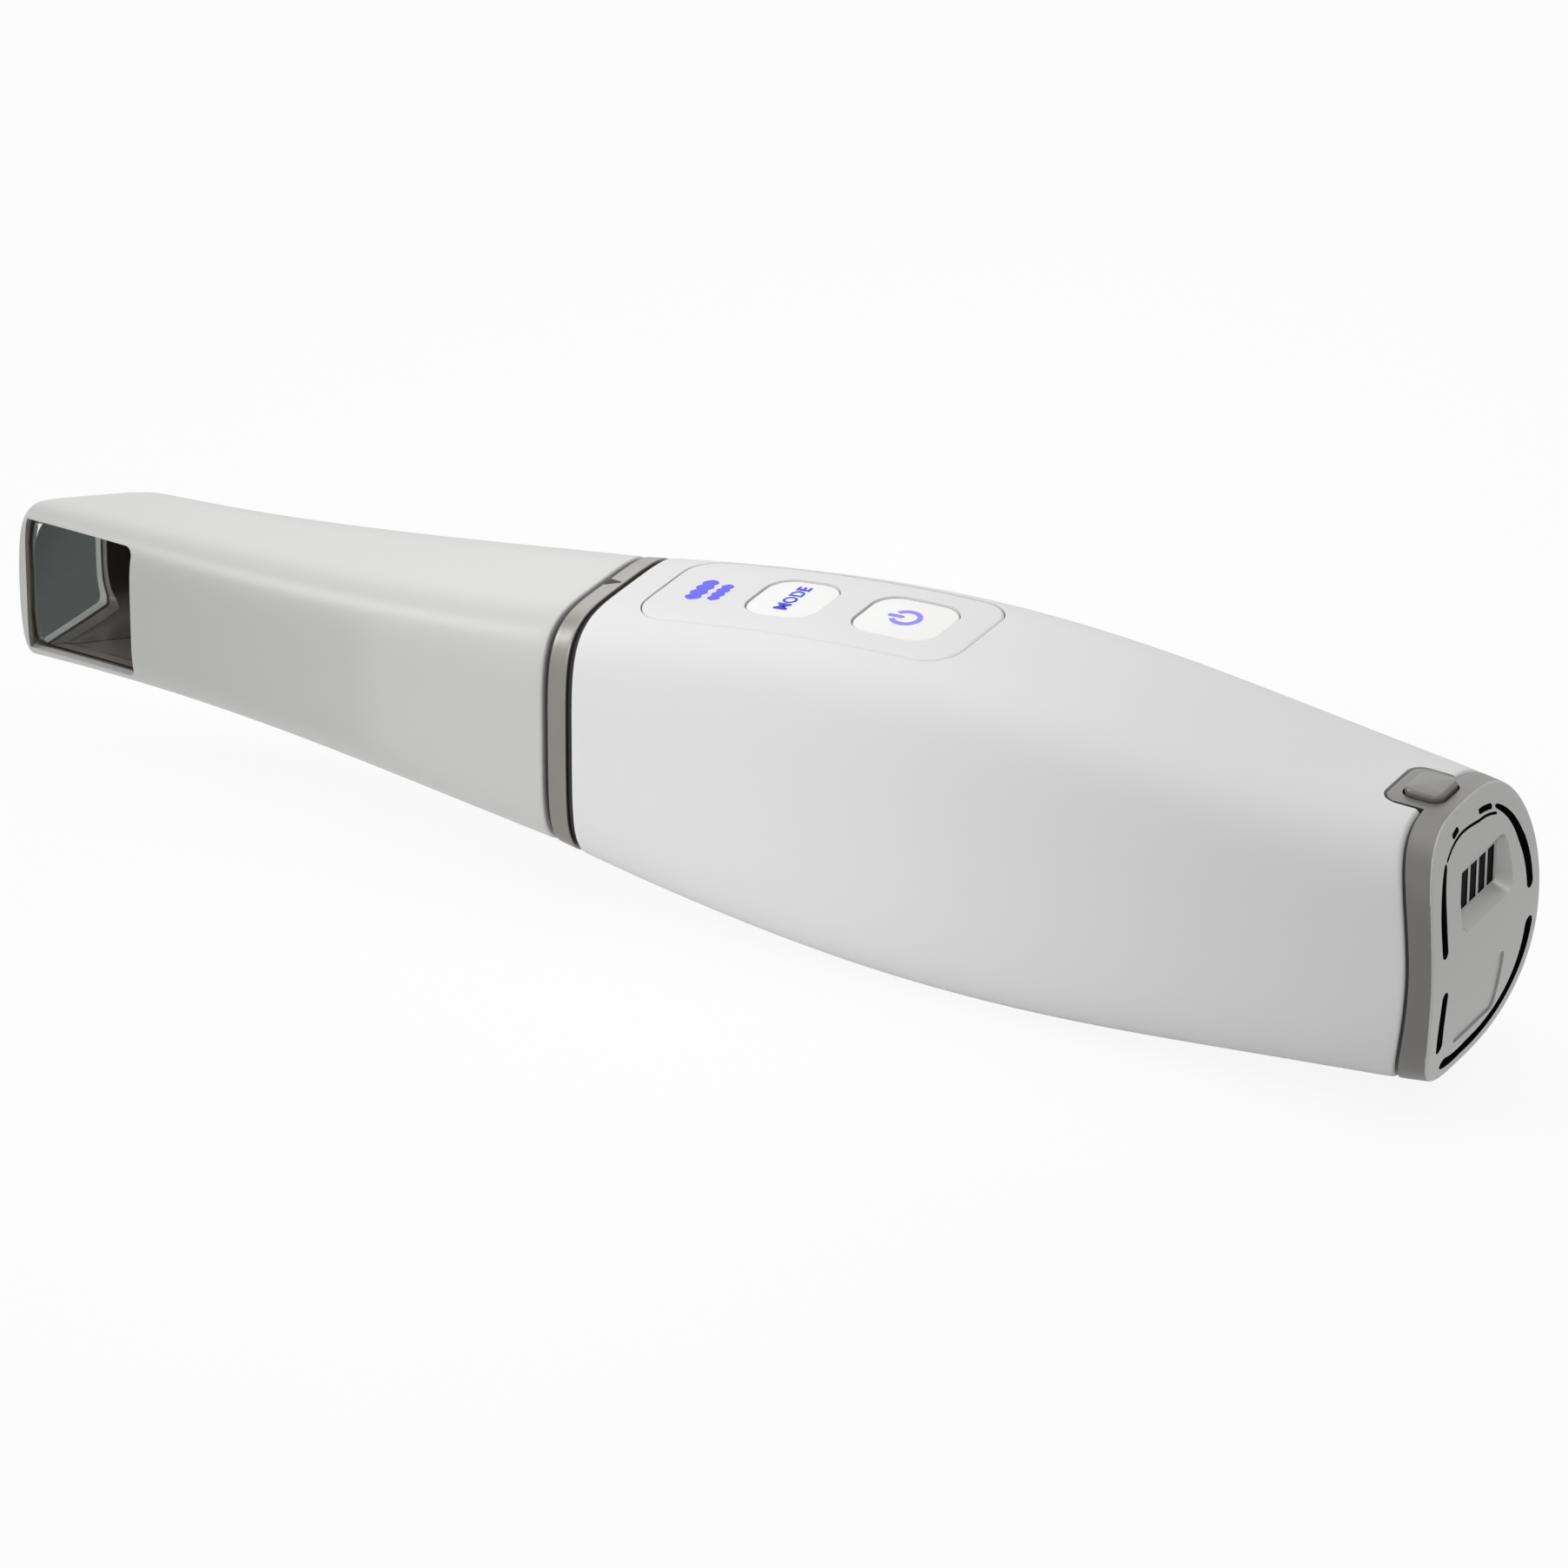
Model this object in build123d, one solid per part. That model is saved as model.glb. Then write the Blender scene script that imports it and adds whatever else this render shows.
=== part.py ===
from build123d import *
import math
import os

# Cordless intraoral scanner, in millimetres. While it is modelled, x runs from the nose of the
# tip to the tail, z is measured from the axis through the tip window, and -y is the window side.
# The finished pieces are moved so that the part rests on z = 0 under its middle.

# Lengths along the scanner
TIP_LENGTH = 92.0
COLLAR_LENGTH = 4.4
HANDLE_LENGTH = 128.0
CAP_DEPTH = 3.6

# Sections of the outer form: half width, rise above the axis, drop below it
NOSE_HALF_WIDTH, NOSE_RISE, NOSE_DROP = 8.3, 11.8, 12.4
NECK_HALF_WIDTH, NECK_RISE, NECK_DROP = 10.7, 12.2, 12.6
TIP_HALF_WIDTH, TIP_RISE, TIP_DROP = 13.8, 14.3, 14.3
COLLAR_HALF_WIDTH, COLLAR_RISE, COLLAR_DROP = 16.3, 18.1, 17.9
SHOULDER_HALF_WIDTH, SHOULDER_RISE, SHOULDER_DROP = 17.0, 22.2, 22.7
BELLY_HALF_WIDTH, BELLY_RISE, BELLY_DROP = 17.7, 23.9, 25.1
HIP_HALF_WIDTH, HIP_RISE, HIP_DROP = 17.7, 22.3, 24.7
WRIST_HALF_WIDTH, WRIST_RISE, WRIST_DROP = 17.5, 19.4, 23.1
TAIL_HALF_WIDTH, TAIL_RISE, TAIL_DROP = 17.4, 17.9, 22.7

# Squareness of the sections: the exponent of a superellipse
NOSE_SQUARENESS = 6.5
TIP_SQUARENESS = 4.5
BELLY_SQUARENESS = 4.7
TAIL_SQUARENESS = 3.2
QUARTER_STEPS = 4

# Where the sections between the ends lie, along the tip and along the handle
NECK_SHARE = 0.31
TIP_SHARE = 0.64
SHOULDER_SHARE = 0.17
BELLY_SHARE = 0.39
HIP_SHARE = 0.61
WRIST_SHARE = 0.82

# Arched ends and the flat on the belly that the scanner rests on
NOSE_ARCH_RADIUS = 80.0
PARTING_RADIUS = 66.0
TAIL_RADIUS = 50.0
TAIL_CROWN_Z = -3.9
REST_FLAT_CUT = 0.35

# Tip: wall, slanted back behind the mirror, window
TIP_WALL = 1.3
CHAMFER_START_Y = -5.0
CHAMFER_ANGLE = 40.0
NOSE_CORNER_RADIUS = 4.0
NOSE_SIDE_RADIUS = 1.8
WINDOW_START = 1.6
WINDOW_LENGTH = 18.5
WINDOW_HALF_HEIGHT = 10.1
WINDOW_CORNER_RADIUS = 1.5
MIRROR_THICKNESS = 2.0
MIRROR_ANGLE = 43.2
LINER_THICKNESS = 0.6
LINER_END = 46.0

# Spigot that the tip slides over
SPIGOT_CLEARANCE = 0.4
SPIGOT_WALL = 1.5
SPIGOT_LENGTH = 44.0
SPIGOT_ROOT = 6.0
GLASS_THICKNESS = 1.6

# Seams and seals
FRONT_SEAL = 0.6
REAR_SEAL = 0.9
SEAL_INSET = 0.5
SEAL_DEPTH = 2.6
CAP_SEAM = 0.6
RUNNING_GAP = 0.1
SEAT_GAP = 0.1

# Handle shell and control panel
HANDLE_WALL = 2.4
PANEL_THICKNESS = 1.2
PANEL_START = 5.5
PANEL_LENGTH = 49.8
PANEL_HALF_WIDTH = 11.5
PANEL_CORNER_RADIUS = 5.5
PANEL_GAP = 0.2
KEY_GAP = 0.25
KEY_CORNER_RADIUS = 3.8
KEY_WIDTH = 12.4
KEY_THICKNESS = 2.2
KEY_STEM_DIAMETER = 4.0
KEY_TRAVEL = 0.5
MODE_KEY_AT = 25.8
MODE_KEY_LENGTH = 11.4
POWER_KEY_AT = 43.4
POWER_KEY_LENGTH = 13.4
LIGHT_AT = 12.6
LIGHT_LENGTH = 5.0
LIGHT_WIDTH = 7.4
LIGHT_CORNER_RADIUS = 1.0

# Boards, chassis and optics inside the handle
BOARD_THICKNESS = 1.5
KEYPAD_TOP = 14.5
KEYPAD_START = 8.0
KEYPAD_LENGTH = 44.0
KEYPAD_HALF_WIDTH = 12.0
SWITCH_SIZE = 6.0
SWITCH_HEIGHT = 3.5
SWITCH_BASE_HEIGHT = 2.4
SWITCH_BUTTON_DIAMETER = 3.3
CHASSIS_LENGTH = 54.0
CHASSIS_HALF_WIDTH = 11.0
CHASSIS_TOP = -12.0
CHASSIS_THICKNESS = 2.0
BULKHEAD = 2.0
POST_DIAMETER = 3.2
POST_INSET = 4.0
OPTICS_START = 7.0
OPTICS_HALF_WIDTH = 7.0
CAMERA_LENGTH = 22.0
CAMERA_HEIGHT = 10.0
PROJECTOR_LENGTH = 28.0
PROJECTOR_HEIGHT = 11.0
LENS_DIAMETER = 8.0
LENS_THICKNESS = 1.5
LENS_TUBE_WALL = 1.0
MAIN_BOARD_LENGTH = 44.0
MAIN_BOARD_HALF_WIDTH = 8.5
STANDOFF = 1.5
STANDOFF_DIAMETER = 4.0
RADIO_LENGTH = 12.0
RADIO_WIDTH = 10.0
RADIO_HEIGHT = 2.0
SCREW_DIAMETER = 2.0
SCREW_HEAD_DIAMETER = 3.6
SCREW_HEAD_HEIGHT = 1.2
SCREW_LENGTH = 5.0
SCREW_PLAY = 0.1

# Battery, its bay and the latch
BATTERY_HALF_WIDTH = 11.0
BATTERY_TOP = 10.0
BATTERY_BOTTOM = -16.0
BATTERY_CORNER_RADIUS = 6.0
BATTERY_CLEARANCE = 0.4
BAY_WALL = 1.2
BAY_LENGTH = 56.0
CONTACT_BLOCK_LENGTH = 3.0
CONTACT_BLOCK_WIDTH = 16.0
CONTACT_BLOCK_HEIGHT = 8.0
CONTACTS = 4
CONTACT_PITCH = 3.6
PIN_DIAMETER = 1.4
PIN_REACH = 1.2
TERMINAL_SIZE = 2.6
TERMINAL_THICKNESS = 0.3
TONGUE_REACH = 10.2
TONGUE_HALF_WIDTH = 5.4
TONGUE_THICKNESS = 2.2
TONGUE_CORNER_RADIUS = 2.2
TONGUE_GAP = 0.35
RELEASE_LENGTH = 5.8
RELEASE_WIDTH = 6.6
RELEASE_PROUD = 1.2
RELEASE_AT = 1.9
RELEASE_EDGE_RADIUS = 0.8
RELEASE_CORNER_RADIUS = 1.6
RELEASE_GAP = 0.3
RELEASE_TRAVEL = 0.8
RELEASE_FOOT = 1.0
SPRING_THICKNESS = 0.4
SPRING_WIDTH = 4.0

# End face of the cap
CAP_EDGE_RADIUS = 0.8
SLOT_INSET = 3.6
SLOT_WIDTH = 1.3
SLOT_DEPTH = 1.4
SIDE_BRIDGE_TOP = 0.0
SIDE_BRIDGE_BOTTOM = -5.5
CORNER_BRIDGE = 3.4
TOP_GAP_FROM, TOP_GAP_TO = -9.8, 7.2
GROOVE_WIDTH = 0.4
GROOVE_TO = 8.0
TOP_SLOT_WIDTH = 0.8
LEFT_SLOT_FROM, LEFT_SLOT_TO = -6.0, -3.1
RIGHT_SLOT_FROM, RIGHT_SLOT_TO = 2.6, 6.4
GAUGE_CENTRE_Y = 0.4
GAUGE_HALF_WIDTH = 8.2
GAUGE_TOP = 10.4
GAUGE_BOTTOM = 0.9
GAUGE_CORNER_RADIUS = 2.4
GAUGE_DEPTH = 2.4
GAUGE_DRAFT = 28.0
BARS = 4
BAR_PITCH = 2.7
BAR_WIDTH = 2.0
BAR_HEIGHT = 4.2
BAR_CENTRE_Y = 1.4
BAR_CENTRE_Z = 6.0
BAR_THICKNESS = 0.8
LABEL_HALF_WIDTH = 6.3
LABEL_TOP = -6.0
LABEL_BOTTOM = -15.2
LABEL_DEPTH = 0.3
LABEL_CORNER_RADIUS = 1.0

# Places worked out from the sizes above
COLLAR_X = TIP_LENGTH
HANDLE_X = COLLAR_X + COLLAR_LENGTH
PARTING_X = HANDLE_X + HANDLE_LENGTH
TAIL_X = PARTING_X + CAP_DEPTH
REST_Z = REST_FLAT_CUT - BELLY_DROP
SPIGOT_INSET = TIP_WALL + SPIGOT_CLEARANCE
LINING_INSET = HANDLE_WALL + SEAT_GAP
CHASSIS_X = HANDLE_X + SPIGOT_ROOT
BAY_X = CHASSIS_X + CHASSIS_LENGTH
CONTACT_X = BAY_X + BULKHEAD + CONTACT_BLOCK_LENGTH
BATTERY_X = CONTACT_X + PIN_REACH + RUNNING_GAP + TERMINAL_THICKNESS
TONGUE_X = PARTING_X - TONGUE_REACH
RELEASE_X = TONGUE_X + RELEASE_AT + RELEASE_LENGTH / 2
KEYPAD_X = HANDLE_X + KEYPAD_START
PANEL_X = HANDLE_X + PANEL_START
MODE_KEY_X = HANDLE_X + MODE_KEY_AT
POWER_KEY_X = HANDLE_X + POWER_KEY_AT
LIGHT_X = HANDLE_X + LIGHT_AT
OPTICS_X = CHASSIS_X + OPTICS_START
CAP_FACE_X = PARTING_X + CAP_SEAM
MARGIN = 4.0
REACH = 2 * max(BELLY_HALF_WIDTH, BELLY_RISE, BELLY_DROP) + 2 * MARGIN

TIP_SECTIONS = (
    (-MARGIN, NOSE_HALF_WIDTH, NOSE_RISE, NOSE_DROP, NOSE_SQUARENESS),
    (TIP_LENGTH * NECK_SHARE, NECK_HALF_WIDTH, NECK_RISE, NECK_DROP, TIP_SQUARENESS),
    (TIP_LENGTH * TIP_SHARE, TIP_HALF_WIDTH, TIP_RISE, TIP_DROP, TIP_SQUARENESS),
    (COLLAR_X, COLLAR_HALF_WIDTH, COLLAR_RISE, COLLAR_DROP, TIP_SQUARENESS),
)
HANDLE_SECTIONS = (
    (COLLAR_X, COLLAR_HALF_WIDTH, COLLAR_RISE, COLLAR_DROP, TIP_SQUARENESS),
    (HANDLE_X + HANDLE_LENGTH * SHOULDER_SHARE,
     SHOULDER_HALF_WIDTH, SHOULDER_RISE, SHOULDER_DROP, TIP_SQUARENESS),
    (HANDLE_X + HANDLE_LENGTH * BELLY_SHARE,
     BELLY_HALF_WIDTH, BELLY_RISE, BELLY_DROP, BELLY_SQUARENESS),
    (HANDLE_X + HANDLE_LENGTH * HIP_SHARE, HIP_HALF_WIDTH, HIP_RISE, HIP_DROP, BELLY_SQUARENESS),
    (HANDLE_X + HANDLE_LENGTH * WRIST_SHARE,
     WRIST_HALF_WIDTH, WRIST_RISE, WRIST_DROP, TIP_SQUARENESS),
    (TAIL_X + MARGIN, TAIL_HALF_WIDTH, TAIL_RISE, TAIL_DROP, TAIL_SQUARENESS),
)


def superellipse(x, half_width, rise, drop, squareness):
    """Closed section across the scanner at one station, drawn as four tangent quarters."""
    middle = (rise - drop) / 2
    half_height = (rise + drop) / 2

    def signed_power(value):
        return math.copysign(abs(value) ** (2 / squareness), value)

    def point(step):
        turn = math.pi / 2 * (step / QUARTER_STEPS - 1)
        across = signed_power(round(math.cos(turn), 9))
        upward = signed_power(round(math.sin(turn), 9))
        return (x, half_width * across, middle + half_height * upward)

    headings = ((0, 1, 0), (0, 0, 1), (0, -1, 0), (0, 0, -1), (0, 1, 0))
    quarters = []
    for quarter in range(4):
        first = quarter * QUARTER_STEPS
        points = [point(step) for step in range(first, first + QUARTER_STEPS + 1)]
        quarters.append(Spline(*points, tangents=headings[quarter:quarter + 2]).edge())
    return Wire(quarters)


def form(sections, inset):
    """Smooth form through the sections, drawn in by the same amount all round."""
    wires = []
    for x, half_width, rise, drop, squareness in sections:
        wires.append(superellipse(x, half_width - inset, rise - inset, drop - inset, squareness))
    return Solid.make_loft(wires)


def tip_form(inset=0.0):
    """Outer form of the tip, from the nose to the collar."""
    return form(TIP_SECTIONS, inset)


def handle_form(inset=0.0):
    """Outer form of the collar, handle and end cap."""
    return form(HANDLE_SECTIONS, inset)


def span(x_from, x_to):
    """Block across the whole scanner between two stations."""
    return Pos((x_from + x_to) / 2, 0, 0) * Box(x_to - x_from, REACH, REACH)


def handle_plug(inset, x_from, x_to):
    """A slice of the drawn-in handle form."""
    return handle_form(inset) & span(x_from, x_to)


def handle_ring(outer_inset, inner_inset, x_from, x_to):
    """A ring between two drawn-in handle forms."""
    return handle_plug(outer_inset, x_from, x_to) - handle_form(inner_inset)


def block(x_from, x_to, y_from, y_to, z_from, z_to):
    """A box given by its faces."""
    size = Box(x_to - x_from, y_to - y_from, z_to - z_from)
    return Pos((x_from + x_to) / 2, (y_from + y_to) / 2, (z_from + z_to) / 2) * size


def rod(x_from, x_to, y, z, diameter):
    """A round bar along the scanner."""
    bar = Cylinder(diameter / 2, x_to - x_from)
    return Pos((x_from + x_to) / 2, y, z) * Rot(0, 90, 0) * bar


def post(x, y, z_from, z_to, diameter):
    """An upright round bar."""
    return Pos(x, y, (z_from + z_to) / 2) * Cylinder(diameter / 2, z_to - z_from)


def upright_prism(x, length, width, radius, z_from, z_to):
    """A rounded rectangle around the middle line, drawn upwards."""
    outline = Pos(x, 0, z_from) * RectangleRounded(length, width, radius)
    return extrude(outline, z_to - z_from, dir=(0, 0, 1))


def arched_block(x_flat, x_crown, radius, crown_z):
    """Block along the scanner whose end at x_crown bulges outwards in side view."""
    half = REACH / 2
    outward = math.copysign(1.0, x_crown - x_flat)
    sag = radius - math.sqrt(radius ** 2 - half ** 2)
    low = (x_crown - outward * sag, crown_z - half)
    high = (x_crown - outward * sag, crown_z + half)
    arch = ThreePointArc(low, (x_crown, crown_z), high)
    back = Polyline(high, (x_flat, crown_z + half), (x_flat, crown_z - half), low)
    return extrude(make_face(Plane.XZ * (arch + back)), REACH / 2, both=True)


def nose_plan(inset):
    """Plan of the tip, with its slanted back, as a prism through the full height."""
    angle = math.radians(CHAMFER_ANGLE)
    start_y = CHAMFER_START_Y - inset / math.cos(angle) + inset * math.tan(angle)
    far_x = inset + (REACH / 2 - start_y) / math.tan(angle)
    outline = Polyline(
        (inset, -REACH / 2),
        (inset, start_y),
        (far_x, REACH / 2),
        (COLLAR_X + MARGIN + far_x, REACH / 2),
        (COLLAR_X + MARGIN + far_x, -REACH / 2),
        close=True,
    )
    plan = make_face(outline)
    corner = plan.vertices().sort_by_distance((inset, start_y, 0))[0]
    plan = fillet(corner, max(NOSE_CORNER_RADIUS - inset, TIP_WALL / 2))
    return extrude(plan, REACH / 2, both=True)


def nose_side(inset):
    """Side view of the nose, with its corners rounded above and below."""
    length = 2 * NOSE_SIDE_RADIUS + COLLAR_X
    height = NOSE_RISE + NOSE_DROP - 2 * inset
    radius = max(NOSE_SIDE_RADIUS - inset, TIP_WALL)
    outline = RectangleRounded(length, height, radius)
    middle = (inset + length / 2, (NOSE_RISE - NOSE_DROP) / 2)
    rounded = extrude(Plane.XZ * Pos(*middle) * outline, REACH / 2, both=True)
    return rounded + span(inset + radius, COLLAR_X + MARGIN)


def nose_block(inset):
    """The space that a piece of the tip may fill: slanted plan, rounded side view, arched nose."""
    arch = arched_block(COLLAR_X + MARGIN, inset, NOSE_ARCH_RADIUS, 0)
    return nose_plan(inset) & arch & nose_side(inset)


def slant_side(inset):
    """The space on the window side of the mirror's plane, drawn in."""
    slant = Pos(0, CHAMFER_START_Y, 0) * Rot(0, 0, MIRROR_ANGLE)
    return slant * block(-COLLAR_X, COLLAR_X, -inset - REACH, -inset, -REACH, REACH)


def window_cut():
    """Prism through the window wall of the tip."""
    middle = WINDOW_START + WINDOW_LENGTH / 2
    outline = RectangleRounded(WINDOW_LENGTH, 2 * WINDOW_HALF_HEIGHT, WINDOW_CORNER_RADIUS)
    depth = REACH / 2 - NOSE_HALF_WIDTH / 2
    return extrude(Plane.XZ * Pos(middle, 0, REACH / 2) * outline, -depth)


def make_tip():
    """Removable tip: shell with window, mirror on the slanted back, dark lining."""
    outer = tip_form() & span(-MARGIN, COLLAR_X - RUNNING_GAP) & nose_block(0)
    hollow = tip_form(TIP_WALL) & nose_block(TIP_WALL)
    shell = outer - hollow - window_cut()

    seat = TIP_WALL + SEAT_GAP
    mirror_front = TIP_WALL + MIRROR_THICKNESS
    inside = tip_form(seat) & nose_block(seat) & span(-MARGIN, LINER_END)
    mirror = inside - slant_side(mirror_front)

    lining = (inside & slant_side(mirror_front + SEAT_GAP)) - tip_form(seat + LINER_THICKNESS)
    lining = lining - window_cut()
    return {"tip_shell": shell, "tip_mirror": mirror, "tip_lining": lining}


def make_collar():
    """Metal collar between two black seals, and the spigot that carries the tip."""
    front_x = COLLAR_X + FRONT_SEAL
    rear_x = HANDLE_X - REAR_SEAL
    bore = SPIGOT_INSET - SEAT_GAP
    spigot_x = COLLAR_X - SPIGOT_LENGTH
    inside = SPIGOT_INSET + SPIGOT_WALL
    spigot = (tip_form(SPIGOT_INSET) & span(spigot_x, COLLAR_X)) - tip_form(inside)
    neck = handle_ring(SPIGOT_INSET, inside, COLLAR_X, HANDLE_X)
    root = handle_ring(LINING_INSET, inside, HANDLE_X, CHASSIS_X)
    glass = tip_form(inside + SEAT_GAP) & span(spigot_x, spigot_x + GLASS_THICKNESS)
    return {
        "front_collar": handle_ring(0, bore, front_x, rear_x),
        "collar_front_seal": handle_ring(SEAL_INSET, bore, COLLAR_X, front_x),
        "collar_rear_seal": handle_ring(SEAL_INSET, bore, rear_x, HANDLE_X),
        "optics_spigot": spigot + neck + root,
        "front_glass": glass,
    }


def key_prism(x, length, grow, z_from):
    """Rounded square column of one key."""
    radius = KEY_CORNER_RADIUS + grow
    return upright_prism(x, length + 2 * grow, KEY_WIDTH + 2 * grow, radius, z_from, REACH / 2)


def panel_prism(grow):
    """Column of the control panel."""
    middle = PANEL_X + PANEL_LENGTH / 2
    length = PANEL_LENGTH + 2 * grow
    width = 2 * (PANEL_HALF_WIDTH + grow)
    return upright_prism(middle, length, width, PANEL_CORNER_RADIUS + grow, 0, REACH / 2)


def light_prism(grow):
    """Column of the status light guide."""
    length = LIGHT_LENGTH + 2 * grow
    width = LIGHT_WIDTH + 2 * grow
    return upright_prism(LIGHT_X, length, width, LIGHT_CORNER_RADIUS + grow, KEYPAD_TOP, REACH / 2)


def tongue_prism(grow):
    """Column of the cap's tongue, open towards the tail."""
    length = TONGUE_REACH + 2 * CAP_DEPTH
    middle = TONGUE_X + length / 2
    width = 2 * (TONGUE_HALF_WIDTH + grow)
    return upright_prism(middle, length + 2 * grow, width, TONGUE_CORNER_RADIUS + grow, 0, REACH / 2)


def make_handle():
    """One-piece handle sleeve with the pocket for the control panel."""
    body = handle_form() & arched_block(HANDLE_X, PARTING_X, PARTING_RADIUS, TAIL_CROWN_Z)
    body = body & block(HANDLE_X, TAIL_X, -REACH, REACH, REST_Z, REACH)
    shell = body - handle_form(HANDLE_WALL)
    pocket = panel_prism(PANEL_GAP) - handle_form(PANEL_THICKNESS)
    mode_hole = key_prism(MODE_KEY_X, MODE_KEY_LENGTH, KEY_GAP, 0)
    power_hole = key_prism(POWER_KEY_X, POWER_KEY_LENGTH, KEY_GAP, 0)
    shell = shell - pocket - mode_hole - power_hole - light_prism(SEAT_GAP)
    shell = shell - tongue_prism(TONGUE_GAP)
    panel = (panel_prism(0) & handle_form()) - handle_form(PANEL_THICKNESS) - mode_hole - power_hole
    return {"handle_shell": shell, "control_panel": panel}


def make_key(x, length):
    """Flush key with a plunger that ends just above its switch."""
    cap = (key_prism(x, length, 0, 0) & handle_form()) - handle_form(KEY_THICKNESS)
    plunger_end = KEYPAD_TOP + SWITCH_HEIGHT + KEY_TRAVEL + RUNNING_GAP
    plunger = post(x, 0, plunger_end, REACH / 2, KEY_STEM_DIAMETER) & handle_form(KEY_THICKNESS / 2)
    return cap + plunger


def make_keypad():
    """Key board with its switches, and the light guide up to the panel."""
    board = block(
        KEYPAD_X, KEYPAD_X + KEYPAD_LENGTH, -KEYPAD_HALF_WIDTH, KEYPAD_HALF_WIDTH,
        KEYPAD_TOP - BOARD_THICKNESS, KEYPAD_TOP)
    half = SWITCH_SIZE / 2
    switches = []
    for x in (MODE_KEY_X, POWER_KEY_X):
        base_top = KEYPAD_TOP + SWITCH_BASE_HEIGHT
        base = block(x - half, x + half, -half, half, KEYPAD_TOP, base_top)
        switches.append(base + post(x, 0, base_top, KEYPAD_TOP + SWITCH_HEIGHT, SWITCH_BUTTON_DIAMETER))
    guide = light_prism(0) & handle_form(PANEL_THICKNESS)
    return {"keypad_board": board, "key_switches": Compound(switches), "status_light_guide": guide}


def keypad_post_places():
    """Centres of the four posts under the key board."""
    ends = (KEYPAD_X + POST_INSET, KEYPAD_X + KEYPAD_LENGTH - POST_INSET)
    side = CHASSIS_HALF_WIDTH - POST_DIAMETER / 2
    return [(x, y) for x in ends for y in (-side, side)]


def main_board_places():
    """Centres of the four standoffs over the main board."""
    start = BAY_X - MAIN_BOARD_LENGTH
    ends = (start + POST_INSET, BAY_X - POST_INSET)
    side = MAIN_BOARD_HALF_WIDTH - STANDOFF_DIAMETER / 2
    return [(x, y) for x in ends for y in (-side, side)]


def make_chassis():
    """Frame that carries the optics and boards, with the main board screwed below it."""
    under = CHASSIS_TOP - CHASSIS_THICKNESS
    board_top = under - STANDOFF
    board_under = board_top - BOARD_THICKNESS
    chassis = block(CHASSIS_X, BAY_X, -CHASSIS_HALF_WIDTH, CHASSIS_HALF_WIDTH, under, CHASSIS_TOP)
    optics_top = CHASSIS_TOP + CAMERA_HEIGHT + PROJECTOR_HEIGHT
    opening = block(
        CHASSIS_X, CHASSIS_X + BULKHEAD, -OPTICS_HALF_WIDTH, OPTICS_HALF_WIDTH, CHASSIS_TOP, optics_top)
    chassis = chassis + handle_plug(LINING_INSET, CHASSIS_X, CHASSIS_X + BULKHEAD) - opening
    for x, y in keypad_post_places():
        chassis = chassis + post(x, y, CHASSIS_TOP, KEYPAD_TOP - BOARD_THICKNESS, POST_DIAMETER)
    hole = SCREW_DIAMETER + 2 * SCREW_PLAY
    board = block(
        BAY_X - MAIN_BOARD_LENGTH, BAY_X - RUNNING_GAP, -MAIN_BOARD_HALF_WIDTH, MAIN_BOARD_HALF_WIDTH,
        board_under, board_top)
    screws = []
    for x, y in main_board_places():
        tip = board_under + SCREW_LENGTH
        chassis = chassis + post(x, y, board_top, under, STANDOFF_DIAMETER)
        chassis = chassis - post(x, y, board_top, tip + SCREW_PLAY, hole)
        board = board - post(x, y, board_under, board_top, hole)
        head = post(x, y, board_under - SCREW_HEAD_HEIGHT, board_under, SCREW_HEAD_DIAMETER)
        screws.append(head + post(x, y, board_under, tip, SCREW_DIAMETER))
    radio_end = BAY_X - 2 * POST_INSET
    radio = block(
        radio_end - RADIO_LENGTH, radio_end, -RADIO_WIDTH / 2, RADIO_WIDTH / 2,
        board_under - RADIO_HEIGHT, board_under)
    return {
        "optics_chassis": chassis,
        "main_board": board,
        "board_screws": Compound(screws),
        "radio_module": radio,
    }


def make_optic(x_to, z_from, z_to):
    """A camera or projector block with a lens tube towards the tip, and its lens."""
    z = (z_from + z_to) / 2
    tube = LENS_DIAMETER + 2 * LENS_TUBE_WALL
    body = block(OPTICS_X, x_to, -OPTICS_HALF_WIDTH, OPTICS_HALF_WIDTH, z_from, z_to)
    body = body + rod(OPTICS_X - 2 * LENS_THICKNESS, OPTICS_X, 0, z, tube)
    lens_x = OPTICS_X - 2 * LENS_THICKNESS
    body = body - rod(lens_x, lens_x + LENS_THICKNESS, 0, z, LENS_DIAMETER)
    lens = rod(lens_x, lens_x + LENS_THICKNESS, 0, z, LENS_DIAMETER - SEAT_GAP)
    return body, lens


def make_optics():
    """Camera on the chassis and projector on the camera."""
    camera_top = CHASSIS_TOP + CAMERA_HEIGHT
    camera, camera_lens = make_optic(OPTICS_X + CAMERA_LENGTH, CHASSIS_TOP, camera_top)
    projector, projector_lens = make_optic(
        OPTICS_X + PROJECTOR_LENGTH, camera_top, camera_top + PROJECTOR_HEIGHT)
    return {
        "camera_module": camera,
        "camera_lens": camera_lens,
        "projector_module": projector,
        "projector_lens": projector_lens,
    }


def battery_prism(grow, x_from, x_to):
    """Rounded column along the scanner, as wide as the battery plus a margin."""
    height = BATTERY_TOP - BATTERY_BOTTOM + 2 * grow
    outline = RectangleRounded(2 * (BATTERY_HALF_WIDTH + grow), height, BATTERY_CORNER_RADIUS + grow)
    middle = (BATTERY_TOP + BATTERY_BOTTOM) / 2
    return extrude(Plane.YZ * Pos(0, middle, x_from) * outline, x_to - x_from)


def contact_places():
    """Sideways places of the battery contacts."""
    return [(step - (CONTACTS - 1) / 2) * CONTACT_PITCH for step in range(CONTACTS)]


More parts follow.
